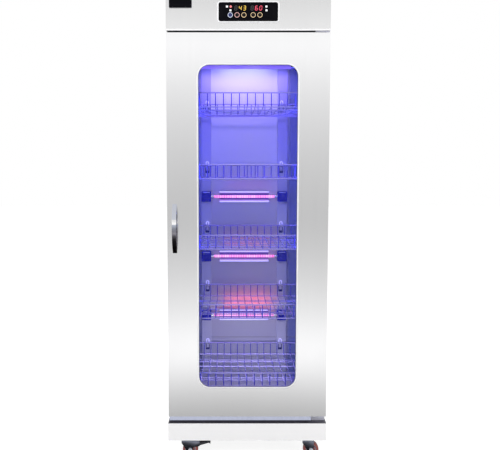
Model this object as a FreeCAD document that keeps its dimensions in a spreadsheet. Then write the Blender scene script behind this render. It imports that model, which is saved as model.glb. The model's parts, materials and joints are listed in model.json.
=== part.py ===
"""Upright dish sterilizer cabinet with a glazed door, five lift-off wire baskets and four castors.

Axes: +Z up, the door faces -Y, +X is on the right of someone who faces the door.
Origin: middle of the footprint, on the floor that the castors stand on. Lengths are in millimetres.
"""
import FreeCAD, Part
import math
import os
import re
import Sketcher

doc = FreeCAD.newDocument("DishSterilizer")


# ---------------------------------------------------------------- driving sizes

SIZES = [
    ("cabinet_width", 618, "side panels, door and fascia"),
    ("cabinet_height", 1800, "floor to top cover"),
    ("carcass_depth", 470, "door side of the carcass to its rear panel"),
    ("sheet", 1.5, "outer steel sheet"),
    ("liner_sheet", 1, "inner steel sheet"),
    ("wall_foam", 31, "insulation in the side walls"),
    ("rear_foam", 30.5, "insulation in the rear wall"),
    ("front_return", 20, "width of the side panels' folded front edge"),
    ("tray_overhang", 2, "base tray beyond the side panels, each side"),
    ("tray_height", 70, "skirt of the base tray"),
    ("skirt_drop", 4, "skirt below the bottom pan"),
    ("pan_sheet", 2.5, "bottom pan"),
    ("floor_rise", 34, "base tray top to the underside of the inner floor"),
    ("door_gap_low", 27.5, "base tray top to the door"),
    ("door_gap_high", 6.5, "door to fascia"),
    ("fascia_height", 132, "fascia above the door"),
    ("ceiling_drop", 27, "foam above the chamber"),
    ("door_thickness", 24, "door without its gasket"),
    ("door_sheet", 1.2, "door's outer and inner sheets"),
    ("gasket_gap", 6, "door to carcass"),
    ("gasket_width", 9, "gasket strip"),
    ("gasket_inset", 19, "door's edge to gasket"),
    ("window_width", 377, "clear glass"),
    ("window_rise", 119.5, "door's lower edge to clear glass"),
    ("window_drop", 119.5, "clear glass to door's upper edge"),
    ("window_radius", 43, "corners of the clear glass"),
    ("trim_width", 6, "bright trim round the window and the control panel"),
    ("trim_proud", 2, "trim in front of the sheet"),
    ("glass", 4, "each pane"),
    ("glass_lap", 12, "pane behind the sheet"),
    ("inner_margin", 10, "inner sheet's window beyond the clear glass"),
    ("handle_length", 190, "bowed strap, end to end"),
    ("handle_width", 17, "bowed strap"),
    ("handle_strap", 5, "thickness of the bowed strap"),
    ("handle_rise", 36, "top of the bow in front of the door"),
    ("handle_inset", 29, "door's edge to the strap's middle"),
    ("handle_height", 922, "floor to the strap's middle"),
    ("pivot_inset", 12, "door's edge to the hinge axis"),
    ("pin_radius", 4, "hinge pins"),
    ("pin_length", 14, "hinge pins"),
    ("bush_side", 14, "square hinge bushes"),
    ("running_gap", 0.05, "radial clearance of pins in their bores"),
    ("rest_gap", 0.3, "clearance of parts that move past each other"),
    ("hinge_plate", 3, "hinge brackets"),
    ("hinge_reach", 54, "width of the hinge brackets"),
    ("panel_width", 222, "control panel glass"),
    ("panel_height", 69, "control panel glass"),
    ("panel_corner", 7, "control panel's clipped corners"),
    ("panel_glass", 4, "control panel glass"),
    ("panel_drop", 63, "cabinet top to the control panel's middle"),
    ("button_radius", 9.5, "push buttons"),
    ("button_pitch", 25.5, "push buttons in one group"),
    ("button_span", 111, "first to last push button"),
    ("button_offset", -12, "middle of the push buttons from the cabinet's middle"),
    ("button_drop", 12, "push buttons below the panel's middle"),
    ("button_proud", 1.5, "push buttons in front of the panel"),
    ("button_flange", 1.8, "rim that holds a push button in"),
    ("board_gap", 11, "control panel to its circuit board"),
    ("board", 1.6, "circuit board"),
    ("board_rib", 5, "ribs behind the control panel's ends, which carry the circuit board"),
    ("ballast_side", 48, "ballast block from the cabinet's middle"),
    ("ballast_length", 144, "ballast block"),
    ("ballast_depth", 90, "ballast block"),
    ("ballast_height", 48, "ballast block"),
    ("upright_width", 45, "rear uprights"),
    ("upright_depth", 15, "rear uprights"),
    ("upright_spread", 353, "middle to middle of the rear uprights"),
    ("basket_gap", 8, "basket to liner and to uprights"),
    ("basket_front_gap", 29, "carcass front to the baskets"),
    ("basket_height", 60, "floor frame to top rail"),
    ("basket_pitch", 279, "from one basket to the next"),
    ("basket_rise", 86, "inner floor to the lowest basket"),
    ("rail", 5, "baskets' rails"),
    ("wire", 3.2, "baskets' wires"),
    ("wire_pitch", 31.2, "baskets' wires"),
    ("side_wire_pitch", 78, "wires along each side guard"),
    ("cross_rod_spread", 190, "between the two rods under a basket's floor"),
    ("hook", 3, "strip of the basket hooks"),
    ("hook_width", 12, "basket hooks"),
    ("hook_lip", 7, "hook's lip above its seat"),
    ("hook_tail", 22, "hook's tail below its seat"),
    ("hook_play", 1, "basket's rail to the hook's lip"),
    ("lamp_drop", 87, "basket floor to the heating lamp under it"),
    ("lamp_radius", 6, "quartz tubes"),
    ("lamp_stand", 11, "uprights' face to the quartz tubes' axis"),
    ("holder_width", 44, "lamp end boxes"),
    ("holder_height", 48, "lamp end boxes"),
    ("holder_depth", 23, "lamp end boxes"),
    ("reflector_length", 230, "lamp reflectors"),
    ("reflector_height", 49, "lamp reflectors"),
    ("reflector_back", 18, "flat back of the reflectors"),
    ("uv_radius", 8, "ultraviolet tube"),
    ("uv_length", 436, "ultraviolet tube"),
    ("uv_drop", 40, "ceiling to the ultraviolet tube's axis"),
    ("uv_setback", 120, "cabinet's middle to the ultraviolet tube"),
    ("uv_holder", 24, "ultraviolet tube's sockets"),
    ("louvre_width", 90, "slots in the rear panel"),
    ("louvre_height", 5, "slots in the rear panel"),
    ("louvre_pitch", 13, "slots in the rear panel"),
    ("louvre_rows", 6, "slots in the rear panel"),
    ("louvre_spread", 180, "between the two columns of slots"),
    ("louvre_drop", 24, "cabinet top to the highest slot"),
    ("gland_radius", 12, "corners of the cord gland's six-sided nut"),
    ("gland_bore", 4.5, "cord gland's bore"),
    ("gland_rise", 14, "cord gland behind the rear panel"),
    ("gland_neck", 8.5, "cord gland through the rear panel"),
    ("gland_tail", 7.5, "cord gland inside the rear panel"),
    ("gland_inset", 89, "cabinet's side to the cord gland"),
    ("gland_drop", 60, "cabinet top to the cord gland"),
    ("castor_height", 86, "floor to bottom pan"),
    ("castor_inset_side", 68, "cabinet's side to the kingpins"),
    ("castor_inset", 36, "base tray's front and rear edges to the kingpins"),
    ("castor_plate", 3, "castor top plates"),
    ("castor_plate_size", 62, "castor top plates"),
    ("race_radius", 20, "castor swivel race"),
    ("kingpin_radius", 5, "castor swivel pin"),
    ("kingpin_head", 8, "radius of the swivel pin's nut"),
    ("fork_sheet", 3, "castor forks"),
    ("fork_top", 73, "floor to the forks' upper face"),
    ("fork_width", 32, "castor forks"),
    ("fork_eye", 9, "castor forks round the axle"),
    ("fork_end", 6, "castor forks past the brake pedal's pin"),
    ("fork_waist", 11, "castor forks over the wheel, ahead of the axle"),
    ("wheel_radius", 31, "castor wheels"),
    ("wheel_width", 24, "castor tyres"),
    ("axle_radius", 4, "castor axles"),
    ("trail", 15, "kingpin to axle"),
    ("pedal_reach", 31, "axle to the brake pedal's pin, along the trail"),
    ("pedal_rise", 23, "axle to the brake pedal's pin, upwards"),
    ("pedal_pin", 2.5, "radius of the brake pedal's pin"),
    ("pedal_eye", 5, "brake pedal round its pin"),
    ("pedal_length", 49, "pin to the pedal's end"),
    ("pedal_width", 24, "brake pedal"),
    ("pedal_thickness", 6, "brake pedal"),
    ("pedal_lift", 7, "brake pedal's end over its pin"),
]

# Each place follows from the sizes above, and from the places before it.
PLACES = [
    ("depth", "handle_rise + door_thickness + gasket_gap + carcass_depth + gland_rise"),
    ("half", "cabinet_width / 2"),
    ("tray_half", "half + tray_overhang"),
    ("rear", "depth / 2 - gland_rise"),
    ("front", "rear - carcass_depth"),
    ("door_back", "front - gasket_gap"),
    ("door_face", "door_back - door_thickness"),
    ("pan_low", "castor_height"),
    ("tray_low", "castor_height - skirt_drop"),
    ("tray_top", "tray_low + tray_height"),
    ("chamber_low", "tray_top + floor_rise + liner_sheet"),
    ("door_low", "tray_top + door_gap_low"),
    ("fascia_low", "cabinet_height - fascia_height"),
    ("door_high", "fascia_low - door_gap_high"),
    ("chamber_high", "fascia_low - ceiling_drop - liner_sheet"),
    ("chamber_half", "half - sheet - wall_foam - liner_sheet"),
    ("chamber_rear", "rear - sheet - rear_foam - liner_sheet"),
    ("skin_top", "cabinet_height - sheet"),
    ("window_low", "door_low + window_rise"),
    ("window_high", "door_high - window_drop"),
    ("window_half", "window_width / 2"),
    ("pivot_side", "half - pivot_inset"),
    ("pivot_depth", "(door_back + door_face) / 2"),
    ("upright_face", "chamber_rear - upright_depth"),
    ("basket_half", "chamber_half - basket_gap"),
    ("basket_front", "front + basket_front_gap"),
    ("basket_rear", "upright_face - basket_gap"),
    ("basket_low", "chamber_low + basket_rise"),
    ("wire_count", "2 * floor((basket_half - rail - wire) / wire_pitch) + 1"),
    ("wire_half", "wire_pitch * (wire_count - 1) / 2"),
    ("side_wire_count", "2 * floor((basket_rear - basket_front - 2 * rail) / 2 / side_wire_pitch + 0.5)"),
    ("basket_middle", "(basket_front + basket_rear) / 2"),
    ("hook_side", "wire_pitch * (floor(upright_spread / 2 / wire_pitch) + 0.5)"),
    ("panel_middle", "cabinet_height - panel_drop"),
    ("gland_height", "cabinet_height - gland_drop"),
    ("gland_side", "half - gland_inset"),
    ("panel_front", "door_face - trim_proud / 2"),
    ("panel_back", "panel_front + panel_glass"),
    ("lamp_depth", "upright_face - lamp_stand"),
    ("holder_half", "(upright_spread - upright_width) / 2"),
    ("fork_low", "fork_top - fork_sheet"),
    ("leg_inside", "fork_width / 2 - fork_sheet"),
    ("fork_nose", "trail + pedal_reach + fork_end"),
]


def make_sheet(label, rows):
    """A sheet with a name, a value and a note in each row, the value's cell being called by the name."""
    sheet = doc.addObject("Spreadsheet::Sheet", label)
    for number, (name, value, note) in enumerate(rows, start=1):
        sheet.set(f"A{number}", name)
        sheet.set(f"B{number}", value)
        sheet.set(f"C{number}", note)
        sheet.setAlias(f"B{number}", name)
    return sheet


SHEET_OF = {name: "Sizes" for name, _, _ in SIZES}
SHEET_OF.update({name: "Places" for name, _ in PLACES})
WORD = re.compile(r"[a-z][a-z_]*")


def formula(text):
    """The text with each name of a size or a place written as its cell."""
    return WORD.sub(lambda word: cell_name(word.group()), str(text))


def cell_name(word):
    return f"{SHEET_OF[word]}.{word}" if word in SHEET_OF else word


make_sheet("Sizes", [(name, str(number), note) for name, number, note in SIZES])
places = make_sheet("Places", [(name, "=" + formula(text), "") for name, text in PLACES])
doc.recompute()


def value(text):
    """The number that a formula comes to."""
    return float(places.evalExpression(formula(text)))


# ---------------------------------------------------------------- building blocks

def bind(item, **formulas):
    for size, text in formulas.items():
        item.setExpression(size, formula(text))
    return item


def move(item, x=0, y=0, z=0):
    """Puts an item's own origin at the place that three formulas give."""
    for axis, text in zip("xyz", (x, y, z)):
        item.setExpression(f"Placement.Base.{axis}", formula(text))
    return item


def box(name, x, y, z):
    """A block between two formulas along each axis."""
    block = doc.addObject("Part::Box", name)
    for side, (low, high) in zip(("Length", "Width", "Height"), (x, y, z)):
        block.setExpression(side, formula(f"({high}) - ({low})"))
    return move(block, x[0], y[0], z[0])


NUT_SIDES, RACE_SIDES = 6, 12
LOUVRE_COLUMNS = 2

ALONG = {
    "X": FreeCAD.Rotation(FreeCAD.Vector(0, 1, 0), 90),
    "Y": FreeCAD.Rotation(FreeCAD.Vector(1, 0, 0), -90),
    "Z": FreeCAD.Rotation(),
}


def rod(name, along, start, radius, length):
    """A round bar that starts at a place and runs along one axis."""
    bar = doc.addObject("Part::Cylinder", name)
    bar.Placement.Rotation = ALONG[along]
    bind(bar, Radius=radius, Height=length)
    return move(bar, *start)


def prism(name, sides, along, start, corner, length):
    """A bar with equal flat sides, given by the radius to its corners."""
    bar = doc.addObject("Part::Prism", name)
    bar.Polygon = sides
    bar.Placement.Rotation = ALONG[along]
    bind(bar, Circumradius=corner, Height=length)
    return move(bar, *start)


def cut(name, base, *tools):
    """The base less the tools, one after another."""
    for number, tool in enumerate(tools, start=1):
        result = doc.addObject("Part::Cut", name if number == len(tools) else f"{name}_step")
        result.Base = base
        result.Tool = tool
        base = result
    return base


def fuse(name, *pieces):
    joined = doc.addObject("Part::MultiFuse", name)
    joined.Shapes = list(pieces)
    joined.Refine = True
    return joined


def group(name, *pieces):
    """Several solids kept as one sub-part."""
    together = doc.addObject("Part::Compound", name)
    together.Links = list(pieces)
    return together


def placed(name, source, x=0, y=0, z=0, turn=0):
    """A copy of a piece, turned about the upright axis and then put at a place."""
    copy = group(name, source)
    copy.Placement.Rotation = FreeCAD.Rotation(FreeCAD.Vector(0, 0, 1), turn)
    return move(copy, x, y, z)


def mirrored(name, source):
    """The same piece on the other side of the cabinet."""
    twin = doc.addObject("Part::Mirroring", name)
    twin.Source = source
    twin.Normal = FreeCAD.Vector(1, 0, 0)
    return twin


def origin_of(body, role):
    return next(item for item in body.Origin.OriginFeatures if item.Role == role)


def sketch_on(body, role, level=0):
    """An empty sketch parallel to one of the body's planes, at a level along that plane's normal."""
    sketch = body.newObject("Sketcher::SketchObject", f"{body.Name}_sketch")
    sketch.AttachmentSupport = (origin_of(body, role), [""])
    sketch.MapMode = "FlatFace"
    sketch.setExpression("AttachmentOffset.Base.z", formula(level))
    return sketch


POINTS = ["edge", "start", "end", "centre"]
START = POINTS.index("start")
END = POINTS.index("end")
CENTRE = POINTS.index("centre")
HORIZONTAL_AXIS = -START


def pin_point(sketch, edge, point, across=None, along=None):
    """Holds a point of the sketch at one or both of its coordinates."""
    for kind, text in (("DistanceX", across), ("DistanceY", along)):
        if text is not None:
            place = Sketcher.Constraint(kind, HORIZONTAL_AXIS, START, edge, point, value(text))
            number = sketch.addConstraint(place)
            sketch.setExpression(f"Constraints[{number}]", formula(text))


def point_at(across, along):
    return FreeCAD.Vector(value(across), value(along), 0)


def polygon(sketch, corners):
    """A closed outline through corners whose coordinates are formulas."""
    first = sketch.GeometryCount
    points = [point_at(*corner) for corner in corners]
    count = len(points)
    for number in range(count):
        edge = Part.LineSegment(points[number], points[(number + 1) % count])
        sketch.addGeometry(edge, False)
    for number in range(count):
        following = first + (number + 1) % count
        joint = Sketcher.Constraint("Coincident", first + number, END, following, START)
        sketch.addConstraint(joint)
    for number, corner in enumerate(corners):
        pin_point(sketch, first + number, START, *corner)


def rectangle(sketch, left, right, low, high):
    polygon(sketch, [(left, low), (right, low), (right, high), (left, high)])


def rounded_rectangle(sketch, left, right, low, high, radius):
    """A closed outline of four sides and four equal arcs."""
    first = sketch.GeometryCount
    x_low, y_low = value(left), value(low)
    x_high, y_high = value(right), value(high)
    bend = value(radius)
    sides = [
        ((x_low + bend, y_low), (x_high - bend, y_low)),
        ((x_high, y_low + bend), (x_high, y_high - bend)),
        ((x_high - bend, y_high), (x_low + bend, y_high)),
        ((x_low, y_high - bend), (x_low, y_low + bend)),
    ]
    for start, end in sides:
        sketch.addGeometry(Part.LineSegment(FreeCAD.Vector(*start), FreeCAD.Vector(*end)), False)
    centres = [
        (x_high - bend, y_low + bend),
        (x_high - bend, y_high - bend),
        (x_low + bend, y_high - bend),
        (x_low + bend, y_low + bend),
    ]
    for turn, centre in enumerate(centres, start=-1):
        circle = Part.Circle(FreeCAD.Vector(*centre), FreeCAD.Vector(0, 0, 1), bend)
        arc = Part.ArcOfCircle(circle, turn * math.pi / 2, (turn + 1) * math.pi / 2)
        sketch.addGeometry(arc, False)
    for number in range(4):
        arc = first + 4 + number
        after = first + (number + 1) % 4
        sketch.addConstraint(Sketcher.Constraint("Tangent", first + number, END, arc, START))
        sketch.addConstraint(Sketcher.Constraint("Tangent", arc, END, after, START))
        kind = "Horizontal" if number % 2 == 0 else "Vertical"
        sketch.addConstraint(Sketcher.Constraint(kind, first + number))
    for number in range(1, 4):
        sketch.addConstraint(Sketcher.Constraint("Equal", first + 4, first + 4 + number))
    size = sketch.addConstraint(Sketcher.Constraint("Radius", first + 4, bend))
    sketch.setExpression(f"Constraints[{size}]", formula(radius))
    pin_point(sketch, first, START, None, low)
    pin_point(sketch, first + 1, START, right, None)
    pin_point(sketch, first + 2, START, None, high)
    pin_point(sketch, first + 3, START, left, None)


def circle(sketch, across, along, radius):
    """A round hole or disc."""
    edge = sketch.GeometryCount
    middle = point_at(across, along)
    sketch.addGeometry(Part.Circle(middle, FreeCAD.Vector(0, 0, 1), value(radius)), False)
    size = sketch.addConstraint(Sketcher.Constraint("Radius", edge, value(radius)))
    sketch.setExpression(f"Constraints[{size}]", formula(radius))
    pin_point(sketch, edge, CENTRE, across, along)


def new_body(name):
    return doc.addObject("PartDesign::Body", name)


def pad(body, sketch, length, both_ways=False):
    feature = body.newObject("PartDesign::Pad", f"{body.Name}_pad")
    feature.Profile = sketch
    feature.Midplane = both_ways
    return bind(feature, Length=length)


def pocket(body, sketch, length):
    feature = body.newObject("PartDesign::Pocket", f"{body.Name}_pocket")
    feature.Profile = sketch
    return bind(feature, Length=length)


def revolve(body, sketch, axis):
    feature = body.newObject("PartDesign::Revolution", f"{body.Name}_turned")
    feature.Profile = sketch
    feature.ReferenceAxis = (origin_of(body, axis), [""])
    return feature


def repeat(body, feature, normal_of, pitch, count):
    """Copies a feature in a row, at right angles to one of the body's planes."""
    row = body.newObject("PartDesign::LinearPattern", f"{body.Name}_row")
    row.Originals = [feature]
    row.Direction = (origin_of(body, normal_of), [""])
    row.Mode = "Spacing"
    bind(row, Offset=pitch, Occurrences=count)
    body.Tip = row
    return row


def front_plate(name, outline, near, far):
    """A plate that faces the front, from the depth near to the depth far; outline draws on its sketch."""
    body = new_body(name)
    sketch = sketch_on(body, "XZ_Plane", f"-({far})")
    outline(sketch)
    pad(body, sketch, f"({far}) - ({near})")
    return body


def front_pocket(body, outline, near, far):
    """Cuts an outline out of a front plate between two depths."""
    sketch = sketch_on(body, "XZ_Plane", f"-({near})")
    outline(sketch)
    return pocket(body, sketch, f"({far}) - ({near})")


def window_outline(margin):
    """Draws the door's window, larger by a margin on every side."""
    def draw(sketch):
        side = f"window_half + {margin}"
        low, high = f"window_low - ({margin})", f"window_high + {margin}"
        rounded_rectangle(sketch, f"-({side})", side, low, high, f"window_radius + {margin}")
    return draw


def panel_outline(margin):
    """Draws the control panel with its clipped corners, larger by a margin on every side."""
    def draw(sketch):
        side, rise = f"panel_width / 2 + {margin}", f"panel_height / 2 + {margin}"
        near_side, near_rise = f"{side} - panel_corner", f"({rise} - panel_corner)"
        polygon(sketch, [
            (f"-({near_side})", f"panel_middle - ({rise})"),
            (near_side, f"panel_middle - ({rise})"),
            (side, f"panel_middle - {near_rise}"),
            (side, f"panel_middle + {near_rise}"),
            (near_side, f"panel_middle + {rise}"),
            (f"-({near_side})", f"panel_middle + {rise}"),
            (f"-({side})", f"panel_middle + {near_rise}"),
            (f"-({side})", f"panel_middle - {near_rise}"),
        ])
    return draw


# ---------------------------------------------------------------- carcass

def base_tray():
    """A deep tray turned upside down: its top carries the carcass and its skirt hides the castor plates."""
    body = new_body("base_tray")
    outline = sketch_on(body, "XY_Plane", "tray_low")
    rectangle(outline, "-tray_half", "tray_half", "door_face", "rear")
    pad(body, outline, "tray_height")
    hollow = sketch_on(body, "XY_Plane", "tray_top - sheet")
    rectangle(hollow, "-tray_half + sheet", "tray_half - sheet", "door_face + sheet", "rear - sheet")
    pocket(body, hollow, "tray_height - sheet")
    return body


def bottom_pan():
    """The stiff sheet inside the tray that the castors are bolted to."""
    return box("bottom_pan", ("-tray_half + sheet", "tray_half - sheet"),
               ("door_face + sheet", "rear - sheet"), ("pan_low", "pan_low + pan_sheet"))


def side_panel(name, sign):
    """One folded sheet: a flat side with a return at the front."""
    body = new_body(name)
    outline = sketch_on(body, "XY_Plane", "tray_top")
    polygon(outline, [
        (f"{sign} * half", "front"),
        (f"{sign} * half", "rear - sheet"),
        (f"{sign} * (half - sheet)", "rear - sheet"),
        (f"{sign} * (half - sheet)", "front + sheet"),
        (f"{sign} * (half - front_return)", "front + sheet"),
        (f"{sign} * (half - front_return)", "front"),
    ])
    pad(body, outline, "skin_top - tray_top")
    return body


def top_cover():
    return box("top_cover", ("-half", "half"), ("front", "rear"), ("skin_top", "cabinet_height"))


def rear_panel():
    """A flat sheet with two columns of cooling slots behind the electrical bay, and the gland's hole."""
    body = front_plate("rear_panel", lambda sketch: rectangle(
        sketch, "-half", "half", "tray_top", "skin_top"), "rear - sheet", "rear")
    slot = front_pocket(body, lambda sketch: rectangle(
        sketch, "-(louvre_spread + louvre_width) / 2", "-(louvre_spread - louvre_width) / 2",
        "cabinet_height - louvre_drop - louvre_height - louvre_pitch * (louvre_rows - 1)",
        "cabinet_height - louvre_drop - louvre_pitch * (louvre_rows - 1)"), "rear - sheet", "rear")
    slots = repeat(body, slot, "XY_Plane", "louvre_pitch", "louvre_rows")
    doc.recompute()  # the second direction counts only once the first has been worked out
    slots.Direction2 = (origin_of(body, "YZ_Plane"), [""])
    slots.Mode2 = "Spacing"
    bind(slots, Offset2="louvre_spread")
    slots.Occurrences2 = LOUVRE_COLUMNS
    front_pocket(body, lambda sketch: circle(
        sketch, "gland_side", "gland_height", "gland_neck"), "rear - sheet", "rear")
    return body


def fascia_panel():
    """A shallow pan above the door with the control panel's opening."""
    body = front_plate("fascia_panel", lambda sketch: rectangle(
        sketch, "-half", "half", "fascia_low", "cabinet_height"), "door_face", "front")
    front_pocket(body, lambda sketch: rectangle(
        sketch, "-half + sheet", "half - sheet", "fascia_low + sheet", "cabinet_height - sheet"),
        "door_face + sheet", "front")
    front_pocket(body, panel_outline("0"), "door_face", "door_face + sheet")
    return body


def front_frame():
    """The sheet frame round the chamber's mouth, which the gasket closes on."""
    body = front_plate("front_frame", lambda sketch: rectangle(
        sketch, "-half + front_return", "half - front_return", "tray_top", "fascia_low"),
        "front", "front + sheet")
    front_pocket(body, lambda sketch: rectangle(
        sketch, "-chamber_half", "chamber_half", "chamber_low", "chamber_high"),
        "front", "front + sheet")
    return body


def liner_sides():
    inside, outside = "chamber_half", "chamber_half + liner_sheet"
    right = box("liner_right", (inside, outside), ("front + sheet", "chamber_rear"),
                ("chamber_low", "chamber_high"))
    return group("liner_sides", right, mirrored("liner_left", right))


def liner_back():
    return box("liner_back", ("-chamber_half - liner_sheet", "chamber_half + liner_sheet"),
               ("chamber_rear", "chamber_rear + liner_sheet"), ("chamber_low", "chamber_high"))


def liner_across(name, low, high):
    return box(name, ("-chamber_half - liner_sheet", "chamber_half + liner_sheet"),
               ("front + sheet", "chamber_rear + liner_sheet"), (low, high))


def insulation():
    """Foam that fills the space between the liner and the outer sheets."""
    block = box("foam_block", ("-half + sheet", "half - sheet"), ("front + sheet", "rear - sheet"),
                ("tray_top", "fascia_low"))
    hollow = box("foam_hollow", ("-chamber_half - liner_sheet", "chamber_half + liner_sheet"),
                 ("front + sheet", "chamber_rear + liner_sheet"),
                 ("chamber_low - liner_sheet", "chamber_high + liner_sheet"))
    return cut("insulation", block, hollow)


def rear_uprights():
    """Two folded channels on the rear liner that carry the hooks and the lamps."""
    body = new_body("upright_right")
    outline = sketch_on(body, "XY_Plane", "chamber_low")
    middle, side = "upright_spread / 2", "upright_width / 2"
    polygon(outline, [
        (f"{middle} - {side}", "chamber_rear"),
        (f"{middle} - {side}", "upright_face"),
        (f"{middle} + {side}", "upright_face"),
        (f"{middle} + {side}", "chamber_rear"),
        (f"{middle} + {side} - sheet", "chamber_rear"),
        (f"{middle} + {side} - sheet", "upright_face + sheet"),
        (f"{middle} - {side} + sheet", "upright_face + sheet"),
        (f"{middle} - {side} + sheet", "chamber_rear"),
    ])
    pad(body, outline, "chamber_high - chamber_low")
    return group("rear_uprights", body, mirrored("upright_left", body))


# ---------------------------------------------------------------- baskets and their hooks

BASKET_COUNT = 5
LEVELS = range(1, BASKET_COUNT + 1)


def level_low(level):
    """Underside of a basket's floor frame; the first basket is the lowest."""
    return f"basket_low + basket_pitch * {level - 1}"


def basket_floor():
    """A frame of four rails with the wires laid flush with its upper side."""
    body = new_body("basket_floor")
    frame = sketch_on(body, "XY_Plane")
    rectangle(frame, "-basket_half", "basket_half", "basket_front", "basket_rear")
    rectangle(frame, "-basket_half + rail", "basket_half - rail", "basket_front + rail", "basket_rear - rail")
    pad(body, frame, "rail")
    section = sketch_on(body, "XY_Plane", "rail - wire")
    rectangle(section, "-wire_half - wire / 2", "-wire_half + wire / 2", "basket_front + rail",
              "basket_rear - rail")
    wire = pad(body, section, "wire")
    repeat(body, wire, "YZ_Plane", "wire_pitch", "wire_count")
    return body


def end_guard():
    """Upright guard across the front or the rear of a basket: top rail, corner posts and wires."""
    body = new_body("basket_end_guard")
    outline = sketch_on(body, "XZ_Plane")
    polygon(outline, [
        ("-basket_half", "rail"),
        ("-basket_half", "basket_height"),
        ("basket_half", "basket_height"),
        ("basket_half", "rail"),
        ("basket_half - rail", "rail"),
        ("basket_half - rail", "basket_height - rail"),
        ("-basket_half + rail", "basket_height - rail"),
        ("-basket_half + rail", "rail"),
    ])
    pad(body, outline, "rail", both_ways=True)
    section = sketch_on(body, "XZ_Plane")
    rectangle(section, "-wire_half - wire / 2", "-wire_half + wire / 2", "rail", "basket_height - rail")
    wire = pad(body, section, "wire", both_ways=True)
    repeat(body, wire, "YZ_Plane", "wire_pitch", "wire_count")
    return body


def side_guard():
    """Upright guard along one side of a basket: top rail and wires, between the end guards."""
    body = new_body("basket_side_guard")
    outline = sketch_on(body, "YZ_Plane")
    rectangle(outline, "basket_front + rail", "basket_rear - rail", "basket_height - rail", "basket_height")
    pad(body, outline, "rail", both_ways=True)
    section = sketch_on(body, "YZ_Plane")
    first = "basket_middle + side_wire_pitch * (side_wire_count - 1) / 2"
    rectangle(section, f"{first} - wire / 2", f"{first} + wire / 2", "rail", "basket_height - rail")
    wire = pad(body, section, "wire", both_ways=True)
    repeat(body, wire, "XZ_Plane", "side_wire_pitch", "side_wire_count")
    return body


def cross_rod():
    """Rod welded under the floor wires."""
    return box("basket_cross_rod", ("-basket_half + rail", "basket_half - rail"),
               ("-wire / 2", "wire / 2"), ("rail - wire * 2", "rail - wire"))


def baskets():
    """Five equal baskets, welded from the same mats."""
    floor, end, side, under = basket_floor(), end_guard(), side_guard(), cross_rod()
    mats = [
        floor,
        placed("basket_front_guard", end, y="basket_front + rail / 2"),
        placed("basket_rear_guard", end, y="basket_rear - rail / 2"),
        placed("basket_right_guard", side, x="basket_half - rail / 2"),
        placed("basket_left_guard", side, x="-basket_half + rail / 2"),
        placed("basket_front_rod", under, y="basket_middle - cross_rod_spread / 2"),
        placed("basket_rear_rod", under, y="basket_middle + cross_rod_spread / 2"),
    ]
    welded = group("basket", *mats)
    return [placed(f"basket_{level}", welded, z=level_low(level)) for level in LEVELS]


def hook():
    """A strip bent into a seat for a basket's top rail. It is fixed to a wall at zero depth and faces -Y."""
    body = new_body("hook")
    outline = sketch_on(body, "YZ_Plane")
    inside = "-(basket_gap + rail + hook_play)"
    polygon(outline, [
        ("0", "hook_lip"),
        ("0", "-hook_tail"),
        ("-hook", "-hook_tail"),
        ("-hook", "-hook"),
        (f"{inside} - hook", "-hook"),
        (f"{inside} - hook", "hook_lip"),
        (inside, "hook_lip"),
        (inside, "0"),
        ("-hook", "0"),
        ("-hook", "hook_lip"),
    ])
    pad(body, outline, "hook_width", both_ways=True)
    return body


def shelf_hooks():
    """Two hooks on the uprights and one on each side wall for every basket."""
    source = hook()
    beside = "basket_middle - side_wire_pitch"
    spots = [
        ("rear_right", "hook_side", "upright_face", 0),
        ("rear_left", "-hook_side", "upright_face", 0),
        ("side_right", "chamber_half", beside, -90),
        ("side_left", "-chamber_half", beside, 90),
    ]
    hooks = []
    for level in LEVELS:
        seat = f"{level_low(level)} + basket_height - rail - rest_gap"
        for spot, x, y, turn in spots:
            hooks.append(placed(f"hook_{spot}_{level}", source, x, y, seat, turn))
    return group("shelf_hooks", *hooks)


# ---------------------------------------------------------------- lamps

LAMP_LEVELS = LEVELS[1:-1]  # none under the lowest basket and none over the highest


def lamp_height(level):
    return f"{level_low(level)} - lamp_drop"


def quartz_tubes():
    tubes = [rod(f"quartz_tube_{level}", "X", ("-holder_half", "lamp_depth", lamp_height(level)),
                 "lamp_radius", "holder_half * 2") for level in LAMP_LEVELS]
    return group("quartz_tubes", *tubes)


def heater_reflectors():
    """Folded troughs behind the quartz tubes, fixed to the rear liner."""
    body = new_body("reflector")
    outline = sketch_on(body, "YZ_Plane")
    low, back = "reflector_height / 2", "reflector_back / 2"
    lip = "upright_face - lamp_stand / 2"
    polygon(outline, [
        ("chamber_rear", f"-{back}"),
        ("chamber_rear", back),
        (f"{lip} + liner_sheet", low),
        (lip, low),
        (lip, f"{low} - liner_sheet"),
        ("chamber_rear - liner_sheet", f"{back} - liner_sheet"),
        ("chamber_rear - liner_sheet", f"-{back} + liner_sheet"),
        (lip, f"-{low} + liner_sheet"),
        (lip, f"-{low}"),
        (f"{lip} + liner_sheet", f"-{low}"),
    ])
    pad(body, outline, "reflector_length", both_ways=True)
    troughs = [placed(f"reflector_{level}", body, z=lamp_height(level)) for level in LAMP_LEVELS]
    return group("heater_reflectors", *troughs)


def lamp_holders():
    """End boxes of the heating lamps on the uprights, and the ultraviolet tube's sockets on the ceiling."""
    outer = "holder_half + holder_width"
    boxes = []
    for level in LAMP_LEVELS:
        middle = lamp_height(level)
        right = box(f"lamp_end_{level}", ("holder_half", outer),
                    ("upright_face - holder_depth", "upright_face"),
                    (f"{middle} - holder_height / 2", f"{middle} + holder_height / 2"))
        boxes += [right, mirrored(f"lamp_end_{level}_left", right)]
    socket = box("uv_socket", ("uv_length / 2", "uv_length / 2 + uv_holder"),
                 ("uv_setback - uv_holder / 2", "uv_setback + uv_holder / 2"),
                 ("chamber_high - uv_drop - uv_holder / 2", "chamber_high"))
    boxes += [socket, mirrored("uv_socket_left", socket)]
    return group("lamp_holders", *boxes)


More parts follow.
